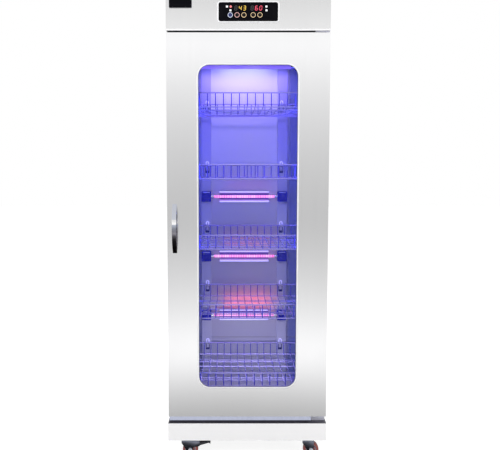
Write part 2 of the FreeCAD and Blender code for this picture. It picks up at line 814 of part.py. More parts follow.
def uv_tube():
    return rod("uv_tube", "X", ("-uv_length / 2", "uv_setback", "chamber_high - uv_drop"),
               "uv_radius", "uv_length")


# ---------------------------------------------------------------- controls and electrics

BUTTON_COUNT, LEFT_BUTTON_COUNT = 5, 3
BUTTONS = range(1, BUTTON_COUNT + 1)


def button_side(number):
    """Three buttons stand together on the left and two on the right."""
    if number <= LEFT_BUTTON_COUNT:
        return f"button_offset - button_span / 2 + button_pitch * {number - 1}"
    return f"button_offset + button_span / 2 - button_pitch * {BUTTON_COUNT - number}"


BUTTON_HEIGHT = "panel_middle - button_drop"


def control_bezel():
    body = front_plate("control_bezel", panel_outline("trim_width"), "door_face - trim_proud", "door_face")
    front_pocket(body, panel_outline("0"), "door_face - trim_proud", "door_face")
    return body


def control_panel():
    """Dark glass that fills the fascia's opening, with a round hole for each button."""
    body = front_plate("control_panel", panel_outline("0"), "panel_front", "panel_back")

    def holes(sketch):
        for number in BUTTONS:
            circle(sketch, button_side(number), BUTTON_HEIGHT, "button_radius + rest_gap")
    front_pocket(body, holes, "panel_front", "panel_back")
    return body


def button():
    """A round cap on a square foot that keeps it behind the panel."""
    seat = "panel_glass + button_proud + rest_gap"
    foot = "button_radius + button_flange"
    cap = rod("button_cap", "Y", ("0", "0", "0"), "button_radius", seat)
    rim = box("button_foot", (f"-({foot})", foot), (seat, f"{seat} + button_flange"), (f"-({foot})", foot))
    return fuse("button", cap, rim)


def control_board():
    """Circuit board behind the panel, on two ribs."""
    face = "panel_back + board_gap"
    side, rise = "(panel_width / 2 - board_rib)", "(panel_height / 2 - board_rib)"
    height = (f"panel_middle - {rise}", f"panel_middle + {rise}")
    plate = box("board_plate", (f"-{side}", side), (face, f"{face} + board"), height)
    ribs = [
        box("board_rib_left", (f"-{side}", f"-{side} + board_rib"), ("panel_back", face), height),
        box("board_rib_right", (f"{side} - board_rib", side), ("panel_back", face), height),
    ]
    return fuse("control_board", plate, *ribs)


def uv_ballast():
    """Ballast block that stands on the foam in the electrical bay."""
    return box("uv_ballast", ("ballast_side", "ballast_side + ballast_length"),
               ("-ballast_depth / 2", "ballast_depth / 2"), ("fascia_low", "fascia_low + ballast_height"))


def cord_gland():
    """Gland through the rear panel for the supply cord: a neck between a six-sided nut and a short tail."""
    inner_end = ("gland_side", "rear - gland_tail", "gland_height")
    neck = rod("gland_barrel", "Y", inner_end, "gland_neck", "gland_tail")
    nut = prism("gland_nut", NUT_SIDES, "Y", ("gland_side", "rear", "gland_height"), "gland_radius",
                "gland_rise")
    bore = rod("gland_hole", "Y", inner_end, "gland_bore", "gland_tail + gland_rise")
    return cut("cord_gland", fuse("gland_body", neck, nut), bore)


# ---------------------------------------------------------------- door

def bush_block(name, low, height):
    """Square block about the hinge axis."""
    side = "bush_side / 2"
    return box(name, (f"pivot_side - {side}", f"pivot_side + {side}"),
               (f"pivot_depth - {side}", f"pivot_depth + {side}"), (low, f"{low} + {height}"))


def door_skin():
    """Outer pan of the door with folded edges, the window's opening and a hole for each hinge bush."""
    body = front_plate("door_pan", lambda sketch: rectangle(
        sketch, "-half", "half", "door_low", "door_high"), "door_face", "door_back - door_sheet")
    front_pocket(body, lambda sketch: rectangle(
        sketch, "-half + door_sheet", "half - door_sheet", "door_low + door_sheet",
        "door_high - door_sheet"), "door_face + door_sheet", "door_back - door_sheet")
    front_pocket(body, window_outline("0"), "door_face", "door_face + door_sheet")
    return cut("door_skin", body, bush_block("bush_hole_low", "door_low", "door_sheet"),
               bush_block("bush_hole_high", "door_high - door_sheet", "door_sheet"))


def door_inner_panel():
    """Inner sheet of the door, with a slightly larger window."""
    body = front_plate("door_inner_panel", lambda sketch: rectangle(
        sketch, "-half", "half", "door_low", "door_high"), "door_back - door_sheet", "door_back")
    front_pocket(body, window_outline("inner_margin"), "door_back - door_sheet", "door_back")
    return body


def pane(name, lap, near, far):
    """Plain pane that laps behind the sheet all round."""
    return box(name, (f"-window_half - ({lap})", f"window_half + {lap}"), (near, far),
               (f"window_low - ({lap})", f"window_high + {lap}"))


def window_trim():
    body = front_plate("window_trim", window_outline("trim_width"), "door_face - trim_proud", "door_face")
    front_pocket(body, window_outline("0"), "door_face - trim_proud", "door_face")
    return body


def door_gasket():
    """Soft strip round the door's inner face, which stops just short of the front frame."""
    def ring(inset):
        return lambda sketch: rectangle(sketch, f"-half + {inset}", f"half - ({inset})",
                                        f"door_low + {inset}", f"door_high - ({inset})")
    body = front_plate("door_gasket", ring("gasket_inset"), "door_back", "front - rest_gap")
    front_pocket(body, ring("gasket_inset + gasket_width"), "door_back", "front - rest_gap")
    return body


def handle():
    """A flat strap bent into an even bow, both ends cut flat on the door."""
    bend = "((handle_length / 2) ^ 2 + handle_rise ^ 2) / (2 * handle_rise)"
    left = "-half + handle_inset - handle_width / 2"
    middle = (left, f"door_face - handle_rise + {bend}", "handle_height")
    outside = rod("handle_outside", "X", middle, bend, "handle_width")
    inside = rod("handle_inside", "X", middle, f"{bend} - handle_strap", "handle_width")
    ring = cut("handle_ring", outside, inside)
    stretch = box("handle_stretch", (left, f"{left} + handle_width"),
                  ("door_face - handle_rise", "door_face"),
                  ("handle_height - handle_length / 2", "handle_height + handle_length / 2"))
    bow = doc.addObject("Part::Common", "handle")
    bow.Base = ring
    bow.Tool = stretch
    return bow


def door_bushes():
    """Square bushes in the door's lower and upper edges."""
    bushes = []
    for name, low in (("low", "door_low"), ("high", "door_high - pin_length")):
        block = bush_block(f"bush_{name}_block", low, "pin_length")
        bore = rod(f"bush_{name}_bore", "Z", ("pivot_side", "pivot_depth", low),
                   "pin_radius + running_gap", "pin_length")
        bushes.append(cut(f"bush_{name}", block, bore))
    return group("door_bushes", *bushes)


def hinge_brackets():
    """Flat arms from the carcass above and below the door, each with a pin that stands in a bush."""
    across = ("half - hinge_reach", "half - sheet")
    deep = ("pivot_depth - pin_length / 2", "front")
    low_top = "door_low - rest_gap"
    low_arm = box("hinge_low_arm", across, deep, (f"{low_top} - hinge_plate", low_top))
    low_leg = box("hinge_low_leg", across, ("front - hinge_plate", "front"), ("tray_top", low_top))
    low_pin = rod("hinge_low_pin", "Z", ("pivot_side", "pivot_depth", low_top), "pin_radius",
                  "pin_length - hinge_plate")
    high_arm = box("hinge_high_arm", across, deep, ("fascia_low - hinge_plate", "fascia_low"))
    high_end = ("pivot_side", "pivot_depth", "door_high - pin_length + hinge_plate")
    high_pin = rod("hinge_high_pin", "Z", high_end, "pin_radius",
                   "pin_length + door_gap_high - hinge_plate * 2")
    return group("hinge_brackets", fuse("hinge_low", low_arm, low_leg, low_pin),
                 fuse("hinge_high", high_arm, high_pin))


# ---------------------------------------------------------------- castors

def castor_plate():
    """Top plate, swivel race and swivel pin with its nut, about the pin's axis."""
    half_plate = "castor_plate_size / 2"
    plate = box("castor_top", (f"-{half_plate}", half_plate), (f"-{half_plate}", half_plate),
                ("castor_height - castor_plate", "castor_height"))
    race = prism("castor_race", RACE_SIDES, "Z", ("0", "0", "fork_top + rest_gap"), "race_radius",
                 "castor_height - castor_plate - fork_top - rest_gap")
    pin = rod("castor_pin", "Z", ("0", "0", "fork_low - rest_gap"), "kingpin_radius",
              "castor_height - fork_low")
    nut = prism("castor_nut", NUT_SIDES, "Z", ("0", "0", "fork_low - rest_gap - fork_sheet"),
                "kingpin_head", "fork_sheet")
    return fuse("castor_plate", plate, race, pin, nut)


def leg_corners(with_pedal_pin):
    """Side view of a fork leg, from the crown to the axle, and out past the pedal's pin if it has one."""
    arm = [
        ("trail + fork_waist", "wheel_radius + pedal_rise - fork_eye"),
        ("fork_nose", "wheel_radius + pedal_rise - fork_end"),
        ("fork_nose", "fork_low"),
    ]
    return [
        ("-race_radius", "fork_low"),
        ("-race_radius", "fork_low - fork_eye"),
        ("trail - fork_eye", "wheel_radius - fork_eye"),
        ("trail + fork_eye", "wheel_radius - fork_eye"),
        *(arm if with_pedal_pin else [("trail + fork_waist", "fork_low")]),
    ]


def castor_fork(name, with_pedal_pin):
    """A bent plate with two legs, the axle across them, and the pedal's pin where there is a pedal."""
    half_fork = "fork_width / 2"
    crown_end = "fork_nose" if with_pedal_pin else "trail + fork_waist"
    crown = box(f"{name}_crown", ("-race_radius", crown_end), (f"-{half_fork}", half_fork),
                ("fork_low", "fork_top"))
    legs = []
    for side, near in (("front", f"-{half_fork}"), ("rear", "leg_inside")):
        body = new_body(f"{name}_{side}_leg")
        sketch = sketch_on(body, "XZ_Plane", f"-({near} + fork_sheet)")
        polygon(sketch, leg_corners(with_pedal_pin))
        pad(body, sketch, "fork_sheet")
        legs.append(body)
    axle = rod(f"{name}_axle", "Y", ("trail", f"-{half_fork}", "wheel_radius"), "axle_radius", "fork_width")
    pieces = [crown, *legs, axle]
    if with_pedal_pin:
        pieces.append(rod(f"{name}_pedal_pin", "Y", (
            "trail + pedal_reach", f"-{half_fork}", "wheel_radius + pedal_rise"), "pedal_pin", "fork_width"))
    whole = fuse(f"{name}_bent", *pieces)
    hole = rod(f"{name}_hole", "Z", ("0", "0", "fork_low"), "kingpin_radius + running_gap", "fork_sheet")
    return cut(name, whole, hole)


def castor_wheel():
    """Tread and hub in one piece, bored for the axle."""
    body = new_body("wheel")
    outline = sketch_on(body, "XY_Plane")
    rectangle(outline, "axle_radius + running_gap", "wheel_radius", "-wheel_width / 2", "wheel_width / 2")
    revolve(body, outline, "Y_Axis")
    return body


def brake_pedal():
    """Foot pedal on a cross pin over the wheel, about the pin's axis."""
    body = new_body("pedal")
    outline = sketch_on(body, "XZ_Plane")
    eye, tread = "pedal_eye", "pedal_thickness"
    polygon(outline, [
        (f"-{eye}", f"-{eye} / 2"), (f"{eye}", f"-{eye}"),
        (f"pedal_length - {tread}", f"pedal_lift + {eye} - {tread}"),
        ("pedal_length", f"pedal_lift - {tread}"), ("pedal_length", f"pedal_lift + {eye} - {tread} / 2"),
        (f"pedal_length - {tread}", f"pedal_lift + {eye}"), (eye, eye), (f"-{eye}", eye),
    ])
    pad(body, outline, "pedal_width", both_ways=True)
    hole = rod("pedal_hole", "Y", ("0", "-pedal_width / 2", "0"), "pedal_pin + running_gap", "pedal_width")
    return cut("pedal_bored", body, hole)


KINGPIN_SIDE = "half - castor_inset_side"
AHEAD_ANGLE, BACKWARDS_ANGLE = 0, 180

# Where each kingpin stands, which way its wheel trails and whether it has a brake.
CORNERS = {
    "front_left": (f"-({KINGPIN_SIDE})", "door_face + castor_inset", AHEAD_ANGLE, True),
    "front_right": (KINGPIN_SIDE, "door_face + castor_inset", AHEAD_ANGLE, False),
    "rear_left": (f"-({KINGPIN_SIDE})", "rear - castor_inset", AHEAD_ANGLE, False),
    "rear_right": (KINGPIN_SIDE, "rear - castor_inset", BACKWARDS_ANGLE, True),
}


def castors():
    """Four swivel castors; the front left and the rear right ones have a brake."""
    plate, wheel, pedal = castor_plate(), castor_wheel(), brake_pedal()
    forks = {True: castor_fork("fork_braked", True), False: castor_fork("fork_plain", False)}
    nodes = [group("castor_plates", *[
        placed(f"castor_plate_{corner}", plate, spot[0], spot[1]) for corner, spot in CORNERS.items()])]
    for corner, (x, y, turn, braked) in CORNERS.items():
        onward = "-" if turn == BACKWARDS_ANGLE else "+"
        nodes.append(placed(f"castor_fork_{corner}", forks[braked], x, y, 0, turn))
        nodes.append(placed(f"castor_wheel_{corner}", wheel, f"{x} {onward} trail", y, "wheel_radius"))
        if braked:
            pin = f"{x} {onward} (trail + pedal_reach)"
            nodes.append(placed(f"brake_pedal_{corner}", pedal, pin, y, "wheel_radius + pedal_rise", turn))
    return nodes


# ---------------------------------------------------------------- the whole cabinet

def cabinet():
    button_cap = button()
    nodes = [
        base_tray(), bottom_pan(), side_panel("side_panel_left", -1), side_panel("side_panel_right", 1),
        top_cover(), rear_panel(), fascia_panel(), front_frame(), liner_sides(), liner_back(),
        liner_across("liner_ceiling", "chamber_high", "chamber_high + liner_sheet"),
        liner_across("liner_floor", "chamber_low - liner_sheet", "chamber_low"),
        insulation(), rear_uprights(), shelf_hooks(), quartz_tubes(), heater_reflectors(),
        lamp_holders(), uv_tube(), control_bezel(), control_panel(), control_board(), uv_ballast(),
        cord_gland(), hinge_brackets(),
        door_skin(), door_inner_panel(), window_trim(), door_gasket(), handle(), door_bushes(),
        pane("outer_glass", "glass_lap", "door_face + door_sheet", "door_face + door_sheet + glass"),
        pane("inner_glass", "inner_margin + glass_lap", "door_back - door_sheet - glass",
             "door_back - door_sheet"),
    ]
    nodes += [placed(f"button_{number}", button_cap, button_side(number), "panel_front - button_proud",
                     BUTTON_HEIGHT) for number in BUTTONS]
    return nodes + baskets() + castors()


def check(nodes):
    """Stops when any object of the document or any sub-part has failed."""
    for item in doc.Objects:
        if {"Invalid", "Error"} & set(item.State):
            raise RuntimeError(f"{item.Name} failed: {item.State}")
    for node in nodes:
        if node.Shape.isNull() or not node.Shape.isValid() or not node.Shape.Solids:
            raise RuntimeError(f"{node.Name} has no valid solid")


def write(nodes):
    os.makedirs("parts", exist_ok=True)
    for node in nodes:
        node.Shape.exportStep(os.path.join("parts", f"{node.Label}.step"))


sub_parts = cabinet()
for sub_part in sub_parts:
    sub_part.Label = sub_part.Name
doc.recompute()
check(sub_parts)
write(sub_parts)
print(len(sub_parts), "sub-parts,", sum(len(node.Shape.Solids) for node in sub_parts), "solids")
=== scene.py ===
import json
import math

import bmesh
import bpy
from mathutils import Matrix, Vector


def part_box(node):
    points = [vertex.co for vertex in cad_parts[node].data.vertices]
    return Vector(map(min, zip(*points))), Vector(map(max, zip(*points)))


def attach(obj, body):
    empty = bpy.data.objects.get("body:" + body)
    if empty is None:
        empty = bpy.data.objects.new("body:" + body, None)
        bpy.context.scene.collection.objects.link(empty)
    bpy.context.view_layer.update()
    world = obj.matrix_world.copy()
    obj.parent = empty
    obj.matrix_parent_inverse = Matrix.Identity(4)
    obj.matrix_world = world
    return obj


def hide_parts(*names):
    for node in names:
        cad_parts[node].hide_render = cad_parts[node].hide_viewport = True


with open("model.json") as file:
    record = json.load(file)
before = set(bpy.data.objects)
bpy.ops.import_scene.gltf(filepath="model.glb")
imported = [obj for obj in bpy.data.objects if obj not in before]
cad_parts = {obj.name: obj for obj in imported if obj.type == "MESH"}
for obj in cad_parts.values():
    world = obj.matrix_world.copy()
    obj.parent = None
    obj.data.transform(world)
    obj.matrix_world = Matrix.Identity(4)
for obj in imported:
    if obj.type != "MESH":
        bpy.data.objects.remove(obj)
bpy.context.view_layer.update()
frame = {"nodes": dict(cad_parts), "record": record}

NODES = frame["nodes"]


# ------------------------------------------------------------------ places and sizes, in metres

CORNERS = ("front_left", "front_right", "rear_left", "rear_right")
BRAKED = ("front_left", "rear_right")
LEVELS = range(1, 6)       # the baskets, from the lowest up
HEATED = (2, 3, 4)         # the baskets with a heater under them

DOOR_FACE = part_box("door_skin")[0].y
FASCIA_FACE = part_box("fascia_panel")[0].y
UPRIGHT_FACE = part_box("rear_uprights")[0].y
BACK_WALL = 0.228          # the face of the chamber's back

# the edges of the window, the control panel and the badge, as (left, right, low, high, corner
# radius)
WINDOW = (-0.1885, 0.1885, 0.299, 1.542, 0.043)
PANEL = (-0.111, 0.111, 1.7025, 1.7715, 0.007)
BADGE = (-0.2975, -0.2105, 1.7505, 1.7955, 0.005)

BASKET_RISE = 0.060        # a basket's feet to its top rail
BASKET_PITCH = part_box("basket_3")[0].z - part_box("basket_2")[0].z
HEATER_DROP = 0.087        # a basket's feet down to the axis of its heater
BUTTON_SIDES = (-0.0675, -0.042, -0.0165, 0.018, 0.0435)     # the buttons' places across

WELD = 1e-6                # points nearer than this are one
SHARP = math.radians(34)   # an edge that turns by more stays sharp


def basket_feet(level):
    """The height of the underside of a basket."""
    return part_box(f"basket_{level}")[1].z - BASKET_RISE


def heater_axis(level):
    """The height of the heater under a basket."""
    return basket_feet(level) - HEATER_DROP


# ------------------------------------------------------------------ node trees

class Socket:
    """An output socket of a node; sums and products of it add Math nodes to its tree."""

    def __init__(self, tree, output):
        self.tree, self.output = tree, output

    def math(self, operation, first, second=0):
        return self.tree.node("ShaderNodeMath", {"operation": operation}, {0: first, 1: second})

    def __add__(self, other):
        return self.math("ADD", self, other)

    __radd__ = __add__

    def __sub__(self, other):
        return self.math("SUBTRACT", self, other)

    def __rsub__(self, other):
        return self.math("SUBTRACT", other, self)

    def __neg__(self):
        return 0 - self

    def __mul__(self, other):
        return self.math("MULTIPLY", self, other)

    __rmul__ = __mul__

    def __truediv__(self, other):
        return self.math("DIVIDE", self, other)

    def __lt__(self, other):
        return self.math("LESS_THAN", self, other)

    def __gt__(self, other):
        return self.math("GREATER_THAN", self, other)

    def __abs__(self):
        return self.math("ABSOLUTE", self)

    def fraction(self):
        return self.math("FRACT", self)

    def wave(self):
        return self.math("SINE", self)

    def blend(self, start, end):
        """Nothing at start and one at end, smooth between them."""
        return self.tree.node("ShaderNodeMapRange", {"interpolation_type": "SMOOTHSTEP"},
                              {0: self, 1: start, 2: end, 3: 0, 4: 1})


class Tree:
    """A node tree whose nodes all come from one method."""

    def __init__(self, tree):
        self.tree = tree
        tree.nodes.clear()

    def node(self, kind, settings=None, values=None, output=0):
        """A new node's output socket, or a list of them where output names several."""
        made = self.tree.nodes.new(kind)
        for name, setting in (settings or {}).items():
            if name == "stops":
                ramp = made.color_ramp.elements
                while len(ramp) < len(setting):
                    ramp.new(1)
                for stop, (place, colour) in zip(ramp, setting):
                    stop.position, stop.color = place, (*colour, 1)
            elif name == "items":
                while len(made.index_switch_items) < setting:
                    made.index_switch_items.new()
            else:
                setattr(made, name, setting)
        for key, value in (values or {}).items():
            for single in value if isinstance(value, list) else [value]:
                if isinstance(single, Socket):
                    self.tree.links.new(single.output, made.inputs[key])
                else:
                    made.inputs[key].default_value = single
        if isinstance(output, tuple):
            return [Socket(self, made.outputs[one]) for one in output]
        return Socket(self, made.outputs[output]) if made.outputs else None

    def vector(self, x, y, z):
        return self.node("ShaderNodeCombineXYZ", None, {0: x, 1: y, 2: z})

    def parts(self, vector):
        return self.node("ShaderNodeSeparateXYZ", None, {0: vector}, (0, 1, 2))

    def mix(self, factor, first, second):
        """A colour between two colours."""
        first, second = ((*c, 1) if isinstance(c, tuple) else c for c in (first, second))
        return self.node("ShaderNodeMix", {"data_type": "RGBA"},
                         {0: factor, 6: first, 7: second}, 2)


FINISH = {}  # the finished materials, by name


class Finish(Tree):
    """The material of one of the cabinet's finishes, which follows the place on its piece."""

    def __init__(self, name):
        self.name = name
        self.material = bpy.data.materials.new(name)
        self.material.use_nodes = True
        super().__init__(self.material.node_tree)
        self.place = self.node("ShaderNodeTexCoord", output="Object")
        self.x, self.y, self.z = self.parts(self.place)

    def stretched(self, scale):
        return self.node("ShaderNodeMapping", None, {"Vector": self.place, "Scale": scale})

    def noise(self, scale, detail=2.0, rough=0.5):
        """Even noise, with its own number of waves per metre along each axis."""
        return self.node("ShaderNodeTexNoise", None, {
            "Vector": self.stretched(scale), "Scale": 1.0, "Detail": detail, "Roughness": rough})

    def cells(self, scale, output="Distance"):
        """Cells, so many to a metre along each axis."""
        return self.node("ShaderNodeTexVoronoi", None,
                         {"Vector": self.stretched((scale,) * 3), "Scale": 1.0}, output)

    def bump(self, height, depth, strength):
        return self.node("ShaderNodeBump", None, {
            "Height": height, "Distance": depth, "Strength": strength})

    def surface(self, **sockets):
        """Sets the shader's sockets and keeps the material as finished."""
        values = {}
        for name, value in sockets.items():
            label = name.replace("_", " ").title().replace("Ior", "IOR")
            values[label] = (*value, 1) if isinstance(value, tuple) else value
        shader = self.node("ShaderNodeBsdfPrincipled", None, values)
        self.node("ShaderNodeOutputMaterial", None, {"Surface": shader})
        FINISH[self.name] = self.material


def shade(colour, share):
    """A darker tone of a colour."""
    return tuple(c * share for c in colour)


# ------------------------------------------------------------------ finishes

def brushed(name, colour, rough, grain=(1400, 1400, 9), metallic=1.0, seams=(),
            ledge_shadow=None, corners=None, top=None):
    """Satin steel with a fine grain along one axis, faint streaks and soft wipe marks.

    It may have seams at some heights, a painted shadow over a ledge above a height, painted shade
    towards its side corners, and a painted tone towards its top that stands for how light falls
    there."""
    seam_half, seam_depth, grain_depth = 0.0011, 0.0006, 0.000012
    f = Finish(name)
    fine = f.noise(grain, 3, 0.7)
    streaks = f.noise((grain[0] / 14, grain[1] / 14, grain[2] / 4), 2)
    wipes = f.noise((5, 5, 3.2), 4, 0.6)
    tone = fine * 0.55 + streaks * 0.45
    base = f.mix(tone.blend(0.3, 0.7), shade(colour, 0.98), colour)
    # painted light and shade: a tone that comes in towards the top
    if top:
        base = f.mix(f.z.blend(*top[0]), base, top[1])
    # painted shade towards the side corners
    if corners:
        base = f.mix(abs(f.x).blend(*corners[0]), base, corners[1])
    height, depth = fine, grain_depth
    if seams:
        line = sum(abs(f.z - level) < seam_half for level in seams)
        base = f.mix(line, base, shade(colour, 0.35))
        height, depth = fine * 0.04 - line, seam_depth
    # painted shadow over the ledge
    if ledge_shadow:
        base = f.mix(f.z > ledge_shadow[0], base, ledge_shadow[1])
    f.surface(base_color=base, metallic=metallic, normal=f.bump(height, depth, 0.2),
              roughness=rough - 0.01 + tone * 0.02 + wipes.blend(0.45, 0.75) * 0.015)


def polished(name, colour, rough=0.07, metallic=1.0, reflection_bands=()):
    """Bright chrome with hairline wear and finger marks.

    Reflection bands give heights between which one tone comes in over the last: a painted
    reflection with its painted highlight."""
    f = Finish(name)
    marks = f.noise((70, 70, 40), 5, 0.65)
    hairs = f.noise((900, 220, 900), 2)
    base = f.mix(marks.blend(0.4, 0.7), colour, shade(colour, 0.93))
    # painted reflection: tones by height over the chrome
    for start, end, tone in reflection_bands:
        base = f.mix(f.z.blend(start, end), base, tone)
    f.surface(base_color=base, metallic=metallic, normal=f.bump(hairs, 0.00002, 0.25),
              roughness=rough + marks.blend(0.5, 0.8) * 0.06)


def plated_wire(name, rail, guard):
    """Basket wire in painted blue light of the chamber's lamps: the rails and the floor painted
    bright with their highlight, the upright guard wires duller.
    """
    guard_low, guard_high = 0.0065, 0.0560
    f = Finish(name)
    level = ((f.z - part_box("basket_1")[0].z) / BASKET_PITCH).fraction() * BASKET_PITCH
    upright = (level > guard_low) * (level < guard_high)
    wear = f.noise((300, 300, 300), 3)
    base = f.mix(wear.blend(0.4, 0.7), rail, shade(rail, 0.85))
    f.surface(base_color=f.mix(upright, base, guard), metallic=0.35,
              roughness=0.18 + wear * 0.06, normal=f.bump(wear, 0.00002, 0.2))


def moulded(name, colour, rough=0.5, grain=900.0, **more):
    """Moulded plastic with a fine spark-eroded grain."""
    f = Finish(name)
    grains = f.cells(grain)
    cloud = f.noise((30, 30, 30), 3)
    f.surface(base_color=f.mix(cloud.blend(0.3, 0.7), shade(colour, 0.85), colour),
              roughness=rough + grains * 0.12, normal=f.bump(grains, 0.00008, 0.4), **more)


def galvanised(name, colour, rough=0.42):
    """Zinc-coated sheet with its spangle."""
    f = Finish(name)
    tone = f.node("ShaderNodeRGBToBW", None, {0: f.cells(95, "Color")})
    f.surface(base_color=f.mix(tone, shade(colour, 0.82), colour), metallic=0.9,
              roughness=rough - 0.08 + tone * 0.16, normal=f.bump(tone, 0.00003, 0.3))


def glowing_tube(name, hot, cool, strength, bands):
    """A lit tube, brighter where its coil is close behind the glass."""
    f = Finish(name)
    coil = (f.x * bands).wave() * 0.5 + 0.5
    patches = f.noise((36, 36, 9), 2).blend(0.42, 0.62)
    heat = coil * 0.65 + patches * 0.35
    ends = abs(f.x).blend(0.118, 0.154)
    f.surface(base_color=cool, roughness=0.15, emission_strength=strength,
              emission_color=f.mix(heat * (1 - ends), cool, hot))


def reflector(name, inside, lip_highlight):
    """A trough painted in shade behind its lamp, with a painted highlight along its front lip."""
    f = Finish(name)
    # the front lip's painted highlight
    front = 1 - (f.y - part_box("heater_reflectors")[0].y).blend(0.008, 0.013)
    wear = f.noise((60, 60, 60), 4)
    f.surface(base_color=f.mix(front, f.mix(wear, inside, shade(inside, 0.8)), lip_highlight),
              metallic=0.3, roughness=0.38 + wear * 0.1, normal=f.bump(wear, 0.0001, 0.2))


def rubber(name, colour, rough=0.7):
    """Rubber with scuffs, and dust in soft patches."""
    f = Finish(name)
    scuffs = f.noise((240, 240, 240), 4, 0.6)
    dust = f.noise((22, 22, 60), 3)
    f.surface(base_color=f.mix(dust.blend(0.5, 0.8) * 0.35, colour, (0.32, 0.30, 0.29)),
              roughness=rough + scuffs * 0.15, normal=f.bump(scuffs, 0.0002, 0.4))


def circuit_board(name):
    """A green board with tracks and tinned pads."""
    f = Finish(name)
    tracks = ((f.x * 2600).wave() > 0.72) * f.noise((60, 60, 60), 0).blend(0.48, 0.5)
    pads = f.cells(300) < 0.18
    base = f.mix(tracks, (0.02, 0.16, 0.06), (0.05, 0.30, 0.11))
    f.surface(base_color=f.mix(pads, base, (0.75, 0.72, 0.60)), metallic=pads,
              roughness=0.4 + tracks * 0.1, normal=f.bump(tracks + pads, 0.00005, 0.5))


def clear_pane(name):
    """Toughened glass: almost clear, with a breath of dust and a few wipe marks."""
    f = Finish(name)
    haze = f.noise((6, 6, 4), 5, 0.6)
    f.surface(base_color=(0.80, 0.86, 1.0), roughness=0.03, ior=1.5,
              alpha=0.005 + haze.blend(0.5, 0.85) * 0.008)


def black_glass(name):
    """Back-printed glass with a low sheen."""
    f = Finish(name)
    dust = f.cells(1500) < 0.05
    prints = f.noise((55, 55, 55), 4, 0.6)
    f.surface(base_color=f.mix(dust, (0.002, 0.002, 0.004), (0.05, 0.05, 0.06)),
              roughness=0.06 + prints.blend(0.55, 0.8) * 0.14, specular_ior_level=0.06)


def lit_mark(name, colour, strength, unlit=0.2):
    """A lamp or a segment behind a diffuser, which keeps a share of its colour unlit.

    It also paints a glow on parts that are no lamps.
    """
    f = Finish(name)
    grain = f.noise((2500, 2500, 2500), 1)
    f.surface(base_color=shade(colour, unlit), roughness=0.3, emission_strength=strength,
              emission_color=f.mix(grain.blend(0.2, 0.8), shade(colour, 0.82), colour))


brushed("satin_steel", (0.93, 0.93, 0.935), 0.15)
brushed("fascia_steel", (0.85, 0.85, 0.85), 0.17)
# The front frame is near white with a lavender cast and barely metallic, so that its face in the
# door's shade shows bright: a painted sheen.
brushed("frame_steel", (0.88, 0.89, 0.98), 0.28, metallic=0.1)
brushed("door_lining", (0.86, 0.86, 0.88), 0.28)
# The tray's dark top ledge is painted shadow: the door's shade on it and the dark gap it reflects.
brushed("tray_steel", (0.98, 0.975, 0.97), 0.35, grain=(9, 1400, 1400), metallic=0.1,
        ledge_shadow=(0.1512, (0.05, 0.047, 0.06)))
galvanised("zinc_sheet", (0.72, 0.73, 0.75))
# The liner's violet blue is painted light of the chamber's ultraviolet tube on stainless steel:
# lighter towards the top, and painted shade in deeper blue towards the side corners.
brushed("liner_steel", (0.47, 0.47, 0.64), 0.45, metallic=0.1, seams=(0.350,),
        top=((0.80, 1.25), (0.62, 0.63, 0.86)), corners=((0.200, 0.216), (0.17, 0.21, 0.56)))
# The liner's sides and ceiling: painted shade in the chamber's blue light.
brushed("liner_side_steel", (0.06, 0.08, 0.36), 0.45, metallic=0.05)
# The uprights' and hook strips' blue is painted light of the chamber's lamps, with painted shade
# towards the top.
brushed("upright_steel", (0.53, 0.54, 0.74), 0.40, metallic=0.1,
        top=((0.75, 1.45), (0.36, 0.36, 0.76)))
moulded("foam", (0.86, 0.80, 0.60), 0.9, 260.0)
polished("chrome", (0.86, 0.87, 0.90))
# The handle's tones by height are a painted reflection: near black at the bottom, greying upwards,
# then bluish grey, a white painted highlight and pale blue above.
polished("handle_chrome", (0.06, 0.05, 0.05), 0.15, reflection_bands=(
    (0.835, 0.895, (0.24, 0.23, 0.26)), (0.908, 0.938, (0.52, 0.56, 0.66)),
    (0.938, 0.942, (1.0, 1.0, 1.0)), (0.956, 0.962, (0.72, 0.75, 0.84))))
polished("sill_steel", (0.48, 0.51, 0.64), 0.14)
# The hinge arms are near white with a lavender cast and barely metallic: painted highlights on the
# zinc.
polished("hinge_steel", (0.84, 0.85, 0.97), 0.28, metallic=0.15)
polished("castor_steel", (0.20, 0.21, 0.26), 0.20)
polished("trim_steel", (0.97, 0.97, 0.98), 0.30, metallic=0.25)
# the rails' lavender and the guard wires' deep blue are painted light of the chamber's blue lamps
plated_wire("basket_wire", rail=(0.46, 0.43, 1.0), guard=(0.13, 0.12, 0.82))
glowing_tube("quartz", (1.0, 0.68, 0.94), (0.74, 0.09, 0.46), 1.0, bands=560)
glowing_tube("uv_glass", (0.40, 0.30, 1.0), (0.28, 0.18, 0.95), 0.6, bands=40)
# the trough's deep blue inside is painted shade in the chamber's blue light, its lip a painted
# highlight
reflector("reflector", (0.22, 0.16, 0.62), (0.86, 0.84, 1.0))
# the reflectors' hems and the hooks' catches are no lamps: their lavender glow is painted light
lit_mark("reflector_hem", (0.56, 0.53, 0.97), 0.80, unlit=1.0)
# the lamp clips' lavender blue is painted light of the chamber's blue lamps
polished("lamp_clip", (0.40, 0.42, 0.90), 0.3, metallic=0.2)
